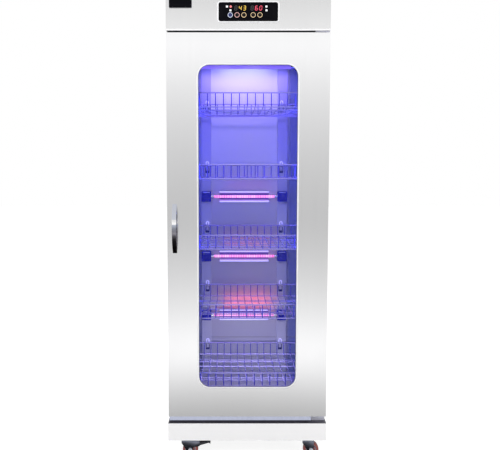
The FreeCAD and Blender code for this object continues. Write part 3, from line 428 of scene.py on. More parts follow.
# the dark plastic's deep blue is painted light of the chamber's blue lamps on dark plastic
moulded("dark_plastic", (0.008, 0.010, 0.46), specular_ior_level=0.08)
moulded("black_plastic", (0.02, 0.02, 0.022))
black_glass("panel_glass")
polished("key_metal", (0.80, 0.80, 0.84), 0.16)
circuit_board("circuit_board")
moulded("ballast", (0.82, 0.82, 0.80), 0.35, 400.0)
rubber("seal", (0.40, 0.40, 0.42))
rubber("black_seal", (0.02, 0.02, 0.025), 0.5)
clear_pane("clear_glass")
galvanised("zinc_fittings", (0.42, 0.42, 0.46), 0.28)
moulded("pedal", (0.05, 0.05, 0.06), 0.38, 500.0, metallic=0.4)
rubber("tread", (0.30, 0.075, 0.065), 0.42)
polished("hub", (0.46, 0.49, 0.56), 0.24, metallic=0.8)
# painted shade for the hook slots, tinted by the chamber's blue light
moulded("slot_shadow", (0.015, 0.02, 0.22), 0.6)
lit_mark("white_lamp", (1.0, 1.0, 1.0), 1.0)
lit_mark("red_lamp", (1.0, 0.25, 0.27), 1.0)
lit_mark("amber_digit", (1.0, 0.66, 0.10), 1.1)
lit_mark("red_digit", (1.0, 0.10, 0.18), 1.1)
# the dark digit and the buttons' marks glow faintly though they are unlit: painted light
lit_mark("dim_digit", (0.075, 0.075, 0.08), 0.6)
lit_mark("blue_ring", (0.78, 0.84, 1.0), 1.1)
lit_mark("blue_centre", (0.02, 0.035, 0.20), 0.6)
lit_mark("pink_ring", (0.92, 0.52, 0.50), 1.0)
lit_mark("gold_ring", (0.94, 0.70, 0.40), 1.0)

NODE_FINISH = {  # the nodes whose finish isn't the one named after their slot
    "fascia_panel": "fascia_steel", "rear_uprights": "upright_steel",
    "front_frame": "frame_steel", "liner_sides": "liner_side_steel",
    "liner_ceiling": "liner_side_steel", "cord_gland": "black_plastic"}
for part in frame["record"]["subparts"]:
    coats = NODES[part["node"]].data.materials
    coats.clear()
    coats.append(FINISH[NODE_FINISH.get(part["node"], part["material_slot"])])


# ------------------------------------------------------------------ mesh makers

def link(name, data):
    """A new object in the scene."""
    made = bpy.data.objects.new(name, data)
    bpy.context.scene.collection.objects.link(made)
    return made


def evaluated(shaper):
    """The plain mesh that an object's modifiers or curves make, after which the object goes."""
    shaped = shaper.evaluated_get(bpy.context.evaluated_depsgraph_get())
    mesh = bpy.data.meshes.new_from_object(shaped)
    bpy.data.objects.remove(shaper)
    return mesh


def plain_mesh(name, work):
    """The mesh of a bmesh, as it is."""
    mesh = bpy.data.meshes.new(name)
    work.to_mesh(mesh)
    work.free()
    return mesh


def closed_mesh(name, work):
    """The mesh of a bmesh, with its doubles merged and its faces turned outwards."""
    bmesh.ops.remove_doubles(work, verts=work.verts, dist=WELD)
    bmesh.ops.recalc_face_normals(work, faces=work.faces)
    return plain_mesh(name, work)


def mesh_of(name, build):
    """The closed mesh that a function builds in an empty bmesh."""
    work = bmesh.new()
    build(work)
    return closed_mesh(name, work)


def piece(name, shape, body, finish, stands_for=(), smooth=True):
    """Puts a mesh, or the closed one that a function builds, in the scene, to ride on a body."""
    mesh = mesh_of(name, shape) if callable(shape) else shape
    made = link(name, mesh)
    mesh.materials.clear()
    mesh.materials.append(FINISH[finish])
    if smooth:
        mesh.shade_smooth()
        mesh.set_sharp_from_angle(angle=SHARP)
    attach(made, body)
    if stands_for:
        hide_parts(*stands_for)


def fixed_pieces(rows):
    """Finishes the bmesh of each row as a piece that stays on the cabinet."""
    for name, work, finish, slot, stands_for in rows:
        piece(name, closed_mesh(name, work), "cabinet", finish, stands_for)


def loft(work, loops, closed=False):
    """A skin through loops of equal length: closed on itself, or with a face over each end."""
    rings = [[work.verts.new(point) for point in loop] for loop in loops]
    pairs = list(zip(rings, rings[1:])) + ([(rings[-1], rings[0])] if closed else [])
    for first, second in pairs:
        for number in range(len(first)):
            after = (number + 1) % len(first)
            work.faces.new((first[number], first[after], second[after], second[number]))
    if not closed:
        work.faces.new(rings[0][::-1])
        work.faces.new(rings[-1])


def circle(radius, sides):
    """Points round a circle, as (across, up)."""
    turns = [math.tau * k / sides for k in range(sides)]
    return [(radius * math.cos(turn), radius * math.sin(turn)) for turn in turns]


def moved(points, across, up):
    """An outline, moved in its own plane."""
    return [(across + a, up + b) for a, b in points]


def rounded_outline(left, right, low, high, radius, steps=5):
    """Points round a rectangle with rounded corners, as (across, up)."""
    points = []
    centres = ((right - radius, high - radius, 0), (left + radius, high - radius, 90),
               (left + radius, low + radius, 180), (right - radius, low + radius, 270))
    for across, up, start in centres:
        for step in range(steps + 1):
            angle = math.radians(start + 90 * step / steps)
            points.append((across + radius * math.cos(angle), up + radius * math.sin(angle)))
    return points


def facing(points, y):
    """An outline stood upright at a depth."""
    return [(across, y, up) for across, up in points]


def cushion_block(work, left, right, near, far, low, high, radius, edge):
    """An upright block with rounded corners and eased front and back edges."""
    easing = [(edge, 0), (edge * 0.3, edge * 0.3), (0, edge)]
    places = [(inset, near + deep) for inset, deep in easing]
    places += [(inset, far - deep) for inset, deep in reversed(easing)]
    loft(work, [facing(rounded_outline(
        left + inset, right - inset, low + inset, high - inset,
        max(radius - inset, edge * 0.2)), y) for inset, y in places])


def swept(work, place, path, section):
    """A section of (side, out) points swept along a bent path of (along, up) points."""
    loops = []
    for number, (along, up) in enumerate(path):
        before, after = path[max(number - 1, 0)], path[min(number + 1, len(path) - 1)]
        way = Vector((0, after[0] - before[0], after[1] - before[1])).normalized()
        normal = Vector((0, way.z, -way.y))
        loops.append([place @ (Vector((side, along, up)) + normal * out) for side, out in section])
    loft(work, loops)


def mirrored(profile):
    """The far half of a turned profile whose near half ends in its middle."""
    return [(radius, -place) for radius, place in profile[-2::-1]]


def turned(work, centre, axis, profile, sides=48):
    """A body turned from (radius, place) points round an axis through its centre."""
    turn = Vector((0, 0, 1)).rotation_difference(Vector(axis)).to_matrix()
    loft(work, [[Vector(centre) + turn @ Vector((a, b, place))
                 for a, b in circle(max(radius, 1e-5), sides)] for radius, place in profile])


def eased(node, width, segments):
    """A copy of a CAD node with its coplanar faces joined and its edges rounded."""
    work = bmesh.new()
    work.from_mesh(NODES[node].data)
    bmesh.ops.remove_doubles(work, verts=work.verts, dist=WELD)
    bmesh.ops.dissolve_limit(work, angle_limit=math.radians(2), verts=work.verts,
                             edges=work.edges)
    shaper = link("shaper", plain_mesh(node + "_eased", work))
    bevel = shaper.modifiers.new("edge", "BEVEL")
    bevel.width, bevel.segments = width, segments
    bevel.limit_method, bevel.angle_limit = "ANGLE", math.radians(35)
    return evaluated(shaper)


def outline_ring(name, body, finish, edges, face, section, stands_for=(), steps=14):
    """A strip round a rounded opening; the section is (outwards, behind the face) points."""
    left, right, low, high, radius = edges
    piece(name, lambda work: loft(work, [
        facing(rounded_outline(left - out, right + out, low - out, high + out, radius + out,
                               steps), face + deep) for out, deep in section], closed=True),
          body, finish, stands_for)


def flat_plate(name, outline, holes, near, thickness, edge):
    """A flat plate with round holes of (across, up, radius) and eased edges."""
    curve = bpy.data.curves.new(name, "CURVE")
    curve.dimensions, curve.fill_mode = "2D", "BOTH"
    curve.extrude, curve.bevel_depth, curve.bevel_resolution = thickness / 2 - edge, edge, 2
    curve.offset = -edge
    for ring in [outline] + [moved(circle(radius, 40), x, z) for x, z, radius in holes]:
        spline = curve.splines.new("POLY")
        spline.points.add(len(ring) - 1)
        for point, (x, z) in zip(spline.points, ring):
            point.co = (x, z, 0, 1)
        spline.use_cyclic_u = True
    mesh = evaluated(link("shaper", curve))
    mesh.transform(Matrix.Translation((0, near + thickness / 2, 0))
                   @ Matrix.Rotation(math.pi / 2, 4, "X"))
    return mesh_of(name, lambda work: work.from_mesh(mesh))


# ------------------------------------------------------------------ geometry nodes

class Weave(Tree):
    """A Geometry Nodes tree with named sizes, which bends wires along paths and sets rows."""

    def __init__(self, name, sizes):
        group = bpy.data.node_groups.new(name, "GeometryNodeTree")
        group.interface.new_socket("Geometry", in_out="OUTPUT",
                                   socket_type="NodeSocketGeometry")
        super().__init__(group)
        self.inputs = {}
        for label, size in sizes.items():
            kind = "NodeSocketInt" if isinstance(size, int) else "NodeSocketFloat"
            socket = group.interface.new_socket(label, in_out="INPUT", socket_type=kind)
            self.inputs[socket.identifier] = size
        self.size = dict(zip(sizes, self.node("NodeGroupInput", output=tuple(sizes))))

    def path(self, points, closed=False, bend=None):
        """A line through points, with its corners rounded."""
        chosen = self.node(
            "GeometryNodeIndexSwitch", {"data_type": "VECTOR", "items": len(points)},
            {0: self.node("GeometryNodeInputIndex"),
             **{number: self.vector(*point) for number, point in enumerate(points, start=1)}})
        line = self.node("GeometryNodePointsToCurves", None, {0: self.node(
            "GeometryNodePoints", None, {"Count": len(points), "Position": chosen})})
        if closed:
            line = self.node("GeometryNodeSetSplineCyclic", None,
                             {"Geometry": line, "Cyclic": True})
        if bend is not None:
            line = self.node("GeometryNodeFilletCurve", {"mode": "POLY"}, {
                "Curve": line, "Count": 4, "Radius": bend, "Limit Radius": True})
        return line

    def wire(self, line, radius, sides=8):
        around = self.node("GeometryNodeCurvePrimitiveCircle", {"mode": "RADIUS"},
                           {"Resolution": sides, "Radius": radius})
        return self.node("GeometryNodeCurveToMesh", None,
                         {"Curve": line, "Profile Curve": around, "Fill Caps": True})

    def row(self, item, count, first, step):
        line = self.node("GeometryNodeMeshLine", {"mode": "OFFSET"},
                         {"Count": count, "Start Location": first, "Offset": step})
        return self.node("GeometryNodeInstanceOnPoints", None,
                         {"Points": line, "Instance": item})

    def result(self, name, items, finish):
        """The plain mesh that the tree makes of its items."""
        joined = self.node("GeometryNodeJoinGeometry", None, {0: items})
        real = self.node("GeometryNodeRealizeInstances", None, {0: joined})
        dressed = self.node("GeometryNodeSetMaterial", None,
                            {"Geometry": real, "Material": FINISH[finish]})
        self.node("NodeGroupOutput", None, {0: dressed})
        shaper = link("shaper", bpy.data.meshes.new("shaper"))
        modifier = shaper.modifiers.new("weave", "NODES")
        modifier.node_group = self.tree
        for key, size in self.inputs.items():
            modifier[key] = size
        mesh = evaluated(shaper)
        mesh.name = name
        return mesh


# ------------------------------------------------------------------ baskets

def basket_mesh():
    """One welded wire basket, its feet at height zero."""
    low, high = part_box("basket_1")
    weave = Weave("wire_basket", {
        "Half Width": (high.x - low.x) / 2 - 0.0025, "Front": low.y + 0.0025,
        "Rear": high.y - 0.0025, "Top": 0.0575, "Rail": 0.0026, "Wire": 0.0019,
        "Wires": 17, "Wire Pitch": 0.0312, "Side Wires": 4, "Side Pitch": 0.078,
        "Rod Gap": 0.190, "Bend": 0.007, "Corner": 0.014})
    s = weave.size
    half, front, rear, top, rail = s["Half Width"], s["Front"], s["Rear"], s["Top"], s["Rail"]
    wire, bend, pitch, side_pitch = s["Wire"], s["Bend"], s["Wire Pitch"], s["Side Pitch"]
    middle = (front + rear) / 2
    tip = top + 0.001
    seat = rail * 2 - wire
    under = seat - wire * 2
    inside = rail + wire
    inset = s["Corner"] * 0.293    # a post stands where the corner's bend passes

    def loop(height):
        return weave.wire(weave.path([
            (-half, front, height), (half, front, height), (half, rear, height),
            (-half, rear, height)], closed=True, bend=s["Corner"]), rail, 10)

    along = weave.wire(weave.path([
        (0, front + inside, tip), (0, front + inside, seat), (0, rear - inside, seat),
        (0, rear - inside, tip)], bend=bend), wire)
    across = weave.wire(weave.path([
        (inside - half, 0, tip), (inside - half, 0, under), (half - inside, 0, under),
        (half - inside, 0, tip)], bend=bend), wire)
    rod = weave.wire(weave.path([(inside - half, 0, under), (half - inside, 0, under)]), wire)
    posts = [weave.wire(weave.path([(x, y, rail), (x, y, top)]), rail * 0.88)
             for x in (half - inset, inset - half) for y in (front + inset, rear - inset)]
    return weave.result("wire_basket", [
        loop(top), loop(rail), *posts,
        weave.row(along, s["Wires"], weave.vector(-(s["Wires"] - 1) * pitch / 2, 0, 0),
                  weave.vector(pitch, 0, 0)),
        weave.row(across, s["Side Wires"],
                  weave.vector(0, middle - (s["Side Wires"] - 1) * side_pitch / 2, 0),
                  weave.vector(0, side_pitch, 0)),
        weave.row(rod, 2, weave.vector(0, middle - s["Rod Gap"] / 2, 0),
                  weave.vector(0, s["Rod Gap"], 0))], "basket_wire")


def make_baskets():
    source = basket_mesh()
    for level in LEVELS:
        mesh = source.copy()
        mesh.transform(Matrix.Translation((0, 0, basket_feet(level))))
        node = f"basket_{level}"
        piece(f"wire_{node}", mesh, node, "basket_wire", [node])
    bpy.data.meshes.remove(source)


HOOK = [  # a strip out of its slot, over the seat and up at the tip, as (out, up) from the seat
    (-0.0015, -0.022), (-0.0015, -0.0025), (-0.0022, -0.0015), (-0.0032, -0.0015),
    (-0.0140, -0.0015), (-0.0149, -0.0008), (-0.0155, 0.0002), (-0.0155, 0.0062),
    (-0.0157, 0.0070)]
CATCH = [  # a wire loop above the seat, as (across, up)
    (-0.0055, 0.0), (-0.0055, 0.013), (-0.0046, 0.0172), (-0.0022, 0.0198), (0, 0.0205),
    (0.0022, 0.0198), (0.0046, 0.0172), (0.0055, 0.013), (0.0055, 0.0)]


def make_hooks():
    """Stamped hooks with rounded bends; the rear ones have a catch above and a slot behind.

    Each slot is a dark blue block of painted shade.
    """
    seat_drop = 0.0053             # a basket's top rail down to its seat on the hooks
    rear_x, side_x, side_y = 0.1716, 0.2755, -0.0655
    strap = rounded_outline(-0.006, 0.006, -0.0014, 0.0014, 0.0009, 2)
    wire = [(-side, out) for out, side in circle(0.0016, 8)]
    strips, catches, slots = (bmesh.new() for _ in range(3))
    for level in LEVELS:
        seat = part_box(f"basket_{level}")[1].z - seat_drop
        for x, y, turn in ((rear_x, UPRIGHT_FACE, 0), (-rear_x, UPRIGHT_FACE, 0),
                           (side_x, side_y, -90), (-side_x, side_y, 90)):
            place = (Matrix.Translation((x, y, seat))
                     @ Matrix.Rotation(math.radians(turn), 4, "Z"))
            swept(strips, place, HOOK, strap)
            if turn:
                continue
            swept(catches, place @ Matrix.Translation((0, -0.0032, 0))
                  @ Matrix.Rotation(math.radians(-90), 4, "Z"), CATCH, wire)
            # each slot is a dark blue block: painted shade in the slot, in the chamber's blue
            # light
            cushion_block(slots, x - 0.0095, x + 0.0095, y - 0.0011, y + 0.0004,
                          seat - 0.033, seat - 0.006, 0.003, 0.0004)
    # the strips take the uprights' painted blue light and the catches a painted glow
    fixed_pieces([("hook_strips", strips, "upright_steel", "chrome", ["shelf_hooks"]),
                  ("hook_catches", catches, "reflector_hem", "chrome", ()),
                  ("hook_slots", slots, "slot_shadow", "chrome", ())])


# ------------------------------------------------------------------ lamps

def make_lamps():
    """Quartz heaters with their ends and reflectors' hems, and the ultraviolet tube's sockets."""
    face, axis = UPRIGHT_FACE, UPRIGHT_FACE - 0.011
    tube_end, box_inner, box_outer, box_half = 0.150, 0.154, 0.198, 0.024
    uv_end, uv_outer, uv_deep, uv_half, ceiling = 0.218, 0.242, 0.120, 0.012, 1.6398
    tubes, ends, clips, hems, boxes = (bmesh.new() for _ in range(5))
    trough_low, trough_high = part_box("heater_reflectors")
    half = (trough_high.z - trough_low.z) / 2 - BASKET_PITCH
    tube_tip = [(0.006, 0.147), (0.0052, 0.151), (0.0035, 0.1538), (0.0005, 0.1538)]
    for level in HEATED:
        z = heater_axis(level)
        for edge in (z + half - 0.003, z - half + 0.001):
            cushion_block(hems, trough_low.x, trough_high.x, trough_low.y - 0.0028,
                          trough_low.y + 0.0022, edge - 0.0032, edge + 0.0032, 0.002, 0.0012)
        turned(tubes, (0, axis, z), (1, 0, 0),
               [(radius, -place) for radius, place in tube_tip[::-1]] + tube_tip, 24)
        for side in (-1, 1):
            turned(ends, (side * tube_end, axis, z), (side, 0, 0), [
                (0.0063, -0.010), (0.0080, -0.009), (0.0080, -0.002), (0.0092, -0.001),
                (0.0092, 0.0035), (0.004, 0.0038)], 24)
            left, right = sorted((side * box_inner, side * box_outer))
            cushion_block(boxes, left, right, face - 0.023, face - 0.0002,
                          z - box_half, z + box_half, 0.004, 0.0018)
            cushion_block(clips, left + 0.006, right - 0.006, face - 0.0245, face - 0.0225,
                          z + 0.0175, z + 0.0215, 0.001, 0.0005)
            for rib in (-0.0125, 0, 0.0085):
                cushion_block(boxes, left + 0.009, right - 0.009, face - 0.0242,
                              face - 0.0225, z + rib - 0.0012, z + rib + 0.0012, 0.001, 0.0005)
    low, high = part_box("uv_tube")
    z = (low.z + high.z) / 2
    for side in (-1, 1):
        turned(ends, (side * uv_end, uv_deep, z), (side, 0, 0), [
            (0.0084, -0.016), (0.0092, -0.015), (0.0092, 0.0), (0.004, 0.0004)], 24)
        left, right = sorted((side * uv_end, side * uv_outer))
        cushion_block(boxes, left, right, uv_deep - uv_half, uv_deep + uv_half, z - uv_half,
                      ceiling, 0.003, 0.001)
    # the end boxes' deep blue, the clips' lavender and the hems' glow are painted light of the
    # chamber's lamps
    fixed_pieces([("heater_tubes", tubes, "quartz", "quartz", ["quartz_tubes"]),
                  ("tube_ends", ends, "key_metal", "chrome", ()),
                  ("lamp_clips", clips, "lamp_clip", "dark_plastic", ()),
                  ("reflector_hems", hems, "reflector_hem", "reflector", ()),
                  ("lamp_end_boxes", boxes, "dark_plastic", "dark_plastic", ["lamp_holders"])])


# ------------------------------------------------------------------ door

def make_window():
    outline_ring("window_trim_bead", "door", "trim_steel", WINDOW, DOOR_FACE, [
        (0.0, 0.0010), (0.0002, -0.0008), (0.0010, -0.0017), (0.0025, -0.0020),
        (0.0045, -0.0017), (0.0057, -0.0009), (0.0060, 0), (0.0060, 0.0003)], ["window_trim"])
    outline_ring("window_seal", "door", "black_seal", WINDOW, DOOR_FACE, [
        (0.0, 0.0011), (-0.0008, 0.0009), (-0.0012, 0.0006), (-0.0014, 0.0012),
        (0.0004, 0.00125)])


def make_handle():
    """The bowed strap, swept along its own arc."""
    thick, foot, steps = 0.0025, 0.0002, 48
    low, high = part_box("handle")
    across, middle = (low.x + high.x) / 2, (low.z + high.z) / 2
    rise, half = DOOR_FACE - low.y, (high.z - low.z) / 2
    bend = (half ** 2 + rise ** 2) / (2 * rise)
    reach = math.asin(half / bend)
    section = rounded_outline(-0.0085, 0.0085, -thick, thick, 0.0016, 4)
    loops = []
    for number in range(steps + 1):
        angle = -reach + 2 * reach * number / steps
        loop = []
        for side, out in section:
            radius = bend - thick + out
            y = low.y + bend - radius * math.cos(angle)
            loop.append((across + side, min(y, DOOR_FACE - foot),
                         middle + radius * math.sin(angle)))
        loops.append(loop)
    piece("bowed_handle", lambda work: loft(work, loops), "door", "handle_chrome",
          ["handle"])


def make_gasket():
    """A soft bulb round the inner panel's edge."""
    inset = 0.009
    low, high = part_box("door_gasket")
    deep = high.y - low.y
    edges = (low.x + inset, high.x - inset, low.z + inset, high.z - inset, 0.003)
    outline_ring("gasket_bulb", "door", "seal", edges, low.y, [
        (0.0, 0), (0.0006, 0.0020), (-0.0002, 0.0036), (0.0008, deep - 0.0004),
        (0.0030, deep), (0.0060, deep), (0.0082, deep - 0.0006), (0.0090, 0.0034),
        (0.0082, 0.0018), (0.0090, 0)], ["door_gasket"], 4)


# ------------------------------------------------------------------ controls

SEGMENTS = {  # (across, up, upright) of each bar, in halves of a digit
    "a": (0, 1, False), "b": (1, 0.5, True), "c": (1, -0.5, True), "d": (0, -1, False),
    "e": (-1, -0.5, True), "f": (-1, 0.5, True), "g": (0, 0, False)}
LIT = {"0": "abcdef", "3": "abcdg", "4": "bcfg", "6": "acdefg", "8": "abcdefg"}


def digit(work, shown, x, z, y):
    """Bars of one figure, each pointed at both ends and leaning a little."""
    half_width, half_height, thick, lean, gap, deep = 0.0042, 0.0076, 0.0011, 0.10, 0.0004, 0.0003
    for bar in LIT[shown]:
        across, up, upright = SEGMENTS[bar]
        length = (half_height / 2 if upright else half_width) - gap
        outline = [(-length, 0), (-length + thick, -thick), (length - thick, -thick),
                   (length, 0), (length - thick, thick), (-length + thick, thick)]
        if upright:
            outline = [(b, a) for a, b in outline]
        middle = (across * half_width, up * half_height)
        points = [(x + middle[0] + a + lean * (middle[1] + b), z + middle[1] + b)
                  for a, b in outline]
        loft(work, [facing(points, y), facing(points, y - deep)])


def make_displays(face):
    """Two lit digits on each display, after one that is dark."""
    pitch, line, starts = 0.0162, 1.7504, (-0.0464, 0.0143)
    for name, start, figures, finish in (("display_left", starts[0], "43", "amber_digit"),
                                         ("display_right", starts[1], "60", "red_digit")):
        piece(name, lambda work: [digit(work, figure, start + pitch * place, line, face)
                                  for place, figure in enumerate(figures, start=1)],
              "cabinet", finish, smooth=False)
    piece("display_dark", lambda work: [digit(work, "8", start, line, face) for start in starts],
          "cabinet", "dim_digit", smooth=False)


def make_button(number, x, z):
    """A turned cap: a bright rim, a lit ring and a dark dished middle."""
    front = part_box(f"button_{number}")[0].y
    rim = [(0.0062, 0.0012), (0.0070, 0.0012), (0.0072, 0.0004), (0.0078, 0.0), (0.0088, 0.0001),
           (0.0095, 0.0008), (0.0095, 0.0058), (0.0113, 0.0058), (0.0113, 0.0074),
           (0.004, 0.0076)]
    band = [(0.0076, 0.0011), (0.0077, -0.0001), (0.0080, -0.0003), (0.0090, -0.0003),
            (0.0093, 0.0001), (0.0094, 0.0010), (0.0085, 0.0013)]
    dish = [(0.0008, 0.0011), (0.0030, 0.0009), (0.0060, 0.0005), (0.0076, 0.0006),
            (0.0076, 0.0020), (0.002, 0.0021)]
    ring = {1: "blue_ring", 2: "pink_ring"}.get(number, "gold_ring")
    for part_name, build, finish, stands_for in (
            ("cap", lambda work: turned(work, (x, front, z), (0, 1, 0), rim, 40),
             "black_plastic", [f"button_{number}"]),
            ("ring", lambda work: loft(work, [
                facing(moved(circle(radius, 40), x, z), front + deep)
                for radius, deep in band], closed=True), ring, ()),
            ("dish", lambda work: turned(work, (x, front, z), (0, 1, 0), dish, 32),
             "blue_centre" if number == 1 else "panel_glass", ()),
            ("mark", lambda work: cushion_block(
                work, x - 0.0007, x + 0.0007, front + 0.0002, front + 0.0010,
                z - 0.0026, z + 0.0026, 0.0005, 0.0002), "dim_digit", ())):
        piece(f"button_{number}_{part_name}", build, f"key_{number}", finish,
              stands_for)


def make_controls():
    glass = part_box("control_panel")[0].y
    low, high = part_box("button_1")
    button_line = (low.z + high.z) / 2
    outline_ring("panel_bezel", "cabinet", "trim_steel", PANEL, FASCIA_FACE, [
        (0.0, 0.0004), (0.0002, -0.0010), (0.0010, -0.0018), (0.0025, -0.0020),
        (0.0045, -0.0016), (0.0058, -0.0006), (0.0060, 0.0004)], ["control_bezel"], 8)
    hole, thickness, edge = 0.0098, 0.004, 0.0005
    piece("control_glass", flat_plate("control_glass", rounded_outline(*PANEL, 8),
                                      [(x, button_line, hole) for x in BUTTON_SIDES],
                                      glass, thickness, edge),
          "cabinet", "panel_glass", ["control_panel"])
    make_displays(glass - 0.0001)
    lamp_spots = ((-0.0797, 1.7560), (-0.0668, 1.7420), (0.0676, 1.7560), (0.0680, 1.7422))
    piece("signal_lamps", lambda work: [cushion_block(
        work, x - 0.0038, x + 0.0038, glass - 0.0006, glass + 0.0006, z - 0.0036, z + 0.0036,
        0.0014, 0.0003) for x, z in lamp_spots], "cabinet", "white_lamp")
    piece("heat_lamp", lambda work: turned(
        work, (-0.0658, glass + 0.0002, 1.7560), (0, -1, 0),
        [(0.0042, 0), (0.0042, 0.0003), (0.0036, 0.0006), (0.0012, 0.0008)], 24),
          "cabinet", "red_lamp")
    for number, x in enumerate(BUTTON_SIDES, start=1):
        make_button(number, x, button_line)


# ------------------------------------------------------------------ trim and badge

def make_trim():
    """The fascia's rolled lower edge, a sloped bright strip along the sill and, up to the hinges,
    a dark seal under the fascia's fold that paints the shade of the gap above the door."""
    low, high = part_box("fascia_panel")
    piece("fascia_hem", lambda work: cushion_block(
        work, low.x + 0.0002, high.x - 0.0002, low.y - 0.0009, low.y + 0.0002,
        low.z + 0.0002, low.z + 0.0066, 0.0016, 0.0005), "cabinet", "trim_steel")
    frame_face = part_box("front_frame")[0].y
    tray_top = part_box("base_tray")[1].z
    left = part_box("side_panel_left")[0].x + 0.0005
    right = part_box("hinge_brackets")[0].x - 0.0005
    slope = [(0.0003, 0.0002), (-0.0052, 0.0002), (-0.0056, 0.0008), (-0.0010, 0.0144),
             (-0.0004, 0.0150), (0.0003, 0.0150)]
    piece("sill_strip", lambda work: loft(work, [
        [(x, frame_face + deep, tray_top + up) for deep, up in slope] for x in (left, right)]),
          "cabinet", "sill_steel", smooth=False)
    # a black strip in the gap under the fascia: painted shade, drawn as a seal
    piece("fascia_gap_shade_seal", lambda work: cushion_block(
        work, left + 0.003, right - 0.002, low.y + 0.0012, frame_face - 0.0006,
        low.z - 0.0011, low.z + 0.0002, 0.0004, 0.0002), "cabinet", "black_seal")


def make_badge():
    """A blank plate at the fascia's upper left corner, in a thin bright rim."""
    left, right, low, high, radius = BADGE
    rim = 0.001
    piece("blank_plate", lambda work: cushion_block(
        work, left, right, FASCIA_FACE - 0.0018, FASCIA_FACE + 0.0002, low, high, radius, 0.0007),
          "cabinet", "panel_glass")
    outline_ring("blank_plate_rim", "cabinet", "key_metal",
                 (left + rim, right - rim, low + rim, high - rim, radius - rim), FASCIA_FACE,
                 [(0.0, -0.0017), (0.0003, -0.0020), (0.0009, -0.0020), (0.0013, -0.0015),
                  (0.0012, -0.0010), (0.0, -0.0010)])


# ------------------------------------------------------------------ castors

def hub_ribs(centre):
    """Six ribs between a wheel's bearing and its rim, on both sides."""
    weave = Weave("hub_ribs", {"Ribs": 6, "Inner": 0.0100, "Outer": 0.0172,
                               "Thickness": 0.0012, "Depth": 0.0182})
    s = weave.size
    rib = weave.node("GeometryNodeMeshCube", None, {"Size": weave.vector(
        s["Outer"] - s["Inner"], s["Depth"], s["Thickness"])})
    ring = weave.node("GeometryNodeMeshCircle", None, {
        "Vertices": s["Ribs"], "Radius": (s["Inner"] + s["Outer"]) / 2})
    turn = weave.node("FunctionNodeAlignEulerToVector", {"axis": "X"},
                      {"Vector": weave.node("GeometryNodeInputPosition")})
    placed = weave.node("GeometryNodeInstanceOnPoints", None, {
        "Points": ring, "Instance": rib, "Rotation": turn})
    mesh = weave.result("hub_ribs", [placed], "hub")
    mesh.transform(Matrix.Translation(centre) @ Matrix.Rotation(math.pi / 2, 4, "X"))
    return mesh


def make_castors():
    tread = [(0.0205, -0.0092), (0.0215, -0.0104), (0.0272, -0.0118), (0.0290, -0.0112),
             (0.0302, -0.0095), (0.0308, -0.0060), (0.0310, 0)]
    rim = [(0.0042, -0.0120), (0.0096, -0.0120), (0.0102, -0.0114), (0.0106, -0.0085),
           (0.0160, -0.0080), (0.0172, -0.0102), (0.0208, -0.0112), (0.0214, -0.0106),
           (0.0214, 0)]
    nut = [(0.0085, 0), (0.0085, 0.0007), (0.0072, 0.0008), (0.0072, 0.0052),
           (0.0062, 0.0060), (0.0040, 0.0061), (0.0038, 0.0080), (0.0022, 0.0088)]
    for corner in CORNERS:
        node, wheel, fork = (kind + corner for kind in ("castor_wheel_", "wheel_", "fork_"))
        low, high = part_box(node)
        centre = (low + high) / 2
        piece(f"tyre_{corner}", lambda work: turned(
            work, centre, (0, 1, 0), tread + mirrored(tread), 64), wheel, "tread", [node])
        piece(f"hub_{corner}", lambda work: turned(
            work, centre, (0, 1, 0), rim + mirrored(rim)), wheel, "hub")
        piece(f"hub_ribs_{corner}", hub_ribs(centre), wheel, "hub")
        piece(f"bent_fork_{corner}", eased(f"castor_{fork}", 0.0008, 2), fork, "castor_steel",
              [f"castor_{fork}"])
        piece(f"axle_nuts_{corner}", lambda work: [turned(  # a round head and a hexagonal nut
            work, (centre.x, centre.y + side * 0.016, centre.z), (0, side, 0), nut, sides)
            for side, sides in ((-1, 24), (1, 6))], fork, "key_metal")
    for corner in BRAKED:
        node = f"brake_pedal_{corner}"
        piece(f"foot_pedal_{corner}", eased(node, 0.0012, 3), f"pedal_{corner}", "pedal",
              [node])
    piece("castor_tops", eased("castor_plates", 0.0006, 2), "cabinet", "castor_steel",
          ["castor_plates"])


# ------------------------------------------------------------------ fittings

def make_screws():
    """Pan-head screws round the rear panel."""
    margin = 0.024
    low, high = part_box("rear_panel")
    weave = Weave("panel_screws", {"Down": 7, "Across": 4, "Width": high.x - low.x - margin,
                                   "Height": high.z - low.z - margin, "Radius": 0.0042})
    s = weave.size
    head = weave.node("GeometryNodeMeshUVSphere", None,
                      {"Segments": 16, "Rings": 8, "Radius": s["Radius"]})
    head = weave.node("GeometryNodeTransform", None, {"Geometry": head, "Scale": (1, 0.45, 1)})
    slot = weave.node("GeometryNodeMeshCube", None,
                      {"Size": weave.vector(s["Radius"] * 1.1, 0.0006, 0.0009)})
    slot = weave.node("GeometryNodeTransform", None,
                      {"Geometry": slot, "Translation": (0, 0.0017, 0)})
    screw = weave.node("GeometryNodeJoinGeometry", None, {0: [head, slot]})
    half, rise = s["Width"] / 2, s["Height"] / 2
    step_across, step_down = half * 2 / (s["Across"] - 1), rise * 2 / (s["Down"] - 1)
    items = []
    for side in (-1, 1):
        items.append(weave.row(screw, s["Down"], weave.vector(half * side, 0, -rise),
                               weave.vector(0, 0, step_down)))
        items.append(weave.row(screw, s["Across"] - 2,
                               weave.vector(step_across - half, 0, rise * side),
                               weave.vector(step_across, 0, 0)))
    mesh = weave.result("panel_screws", items, "key_metal")
    mesh.transform(Matrix.Translation((0, high.y, (low.z + high.z) / 2)))
    piece("panel_screws", mesh, "cabinet", "key_metal")


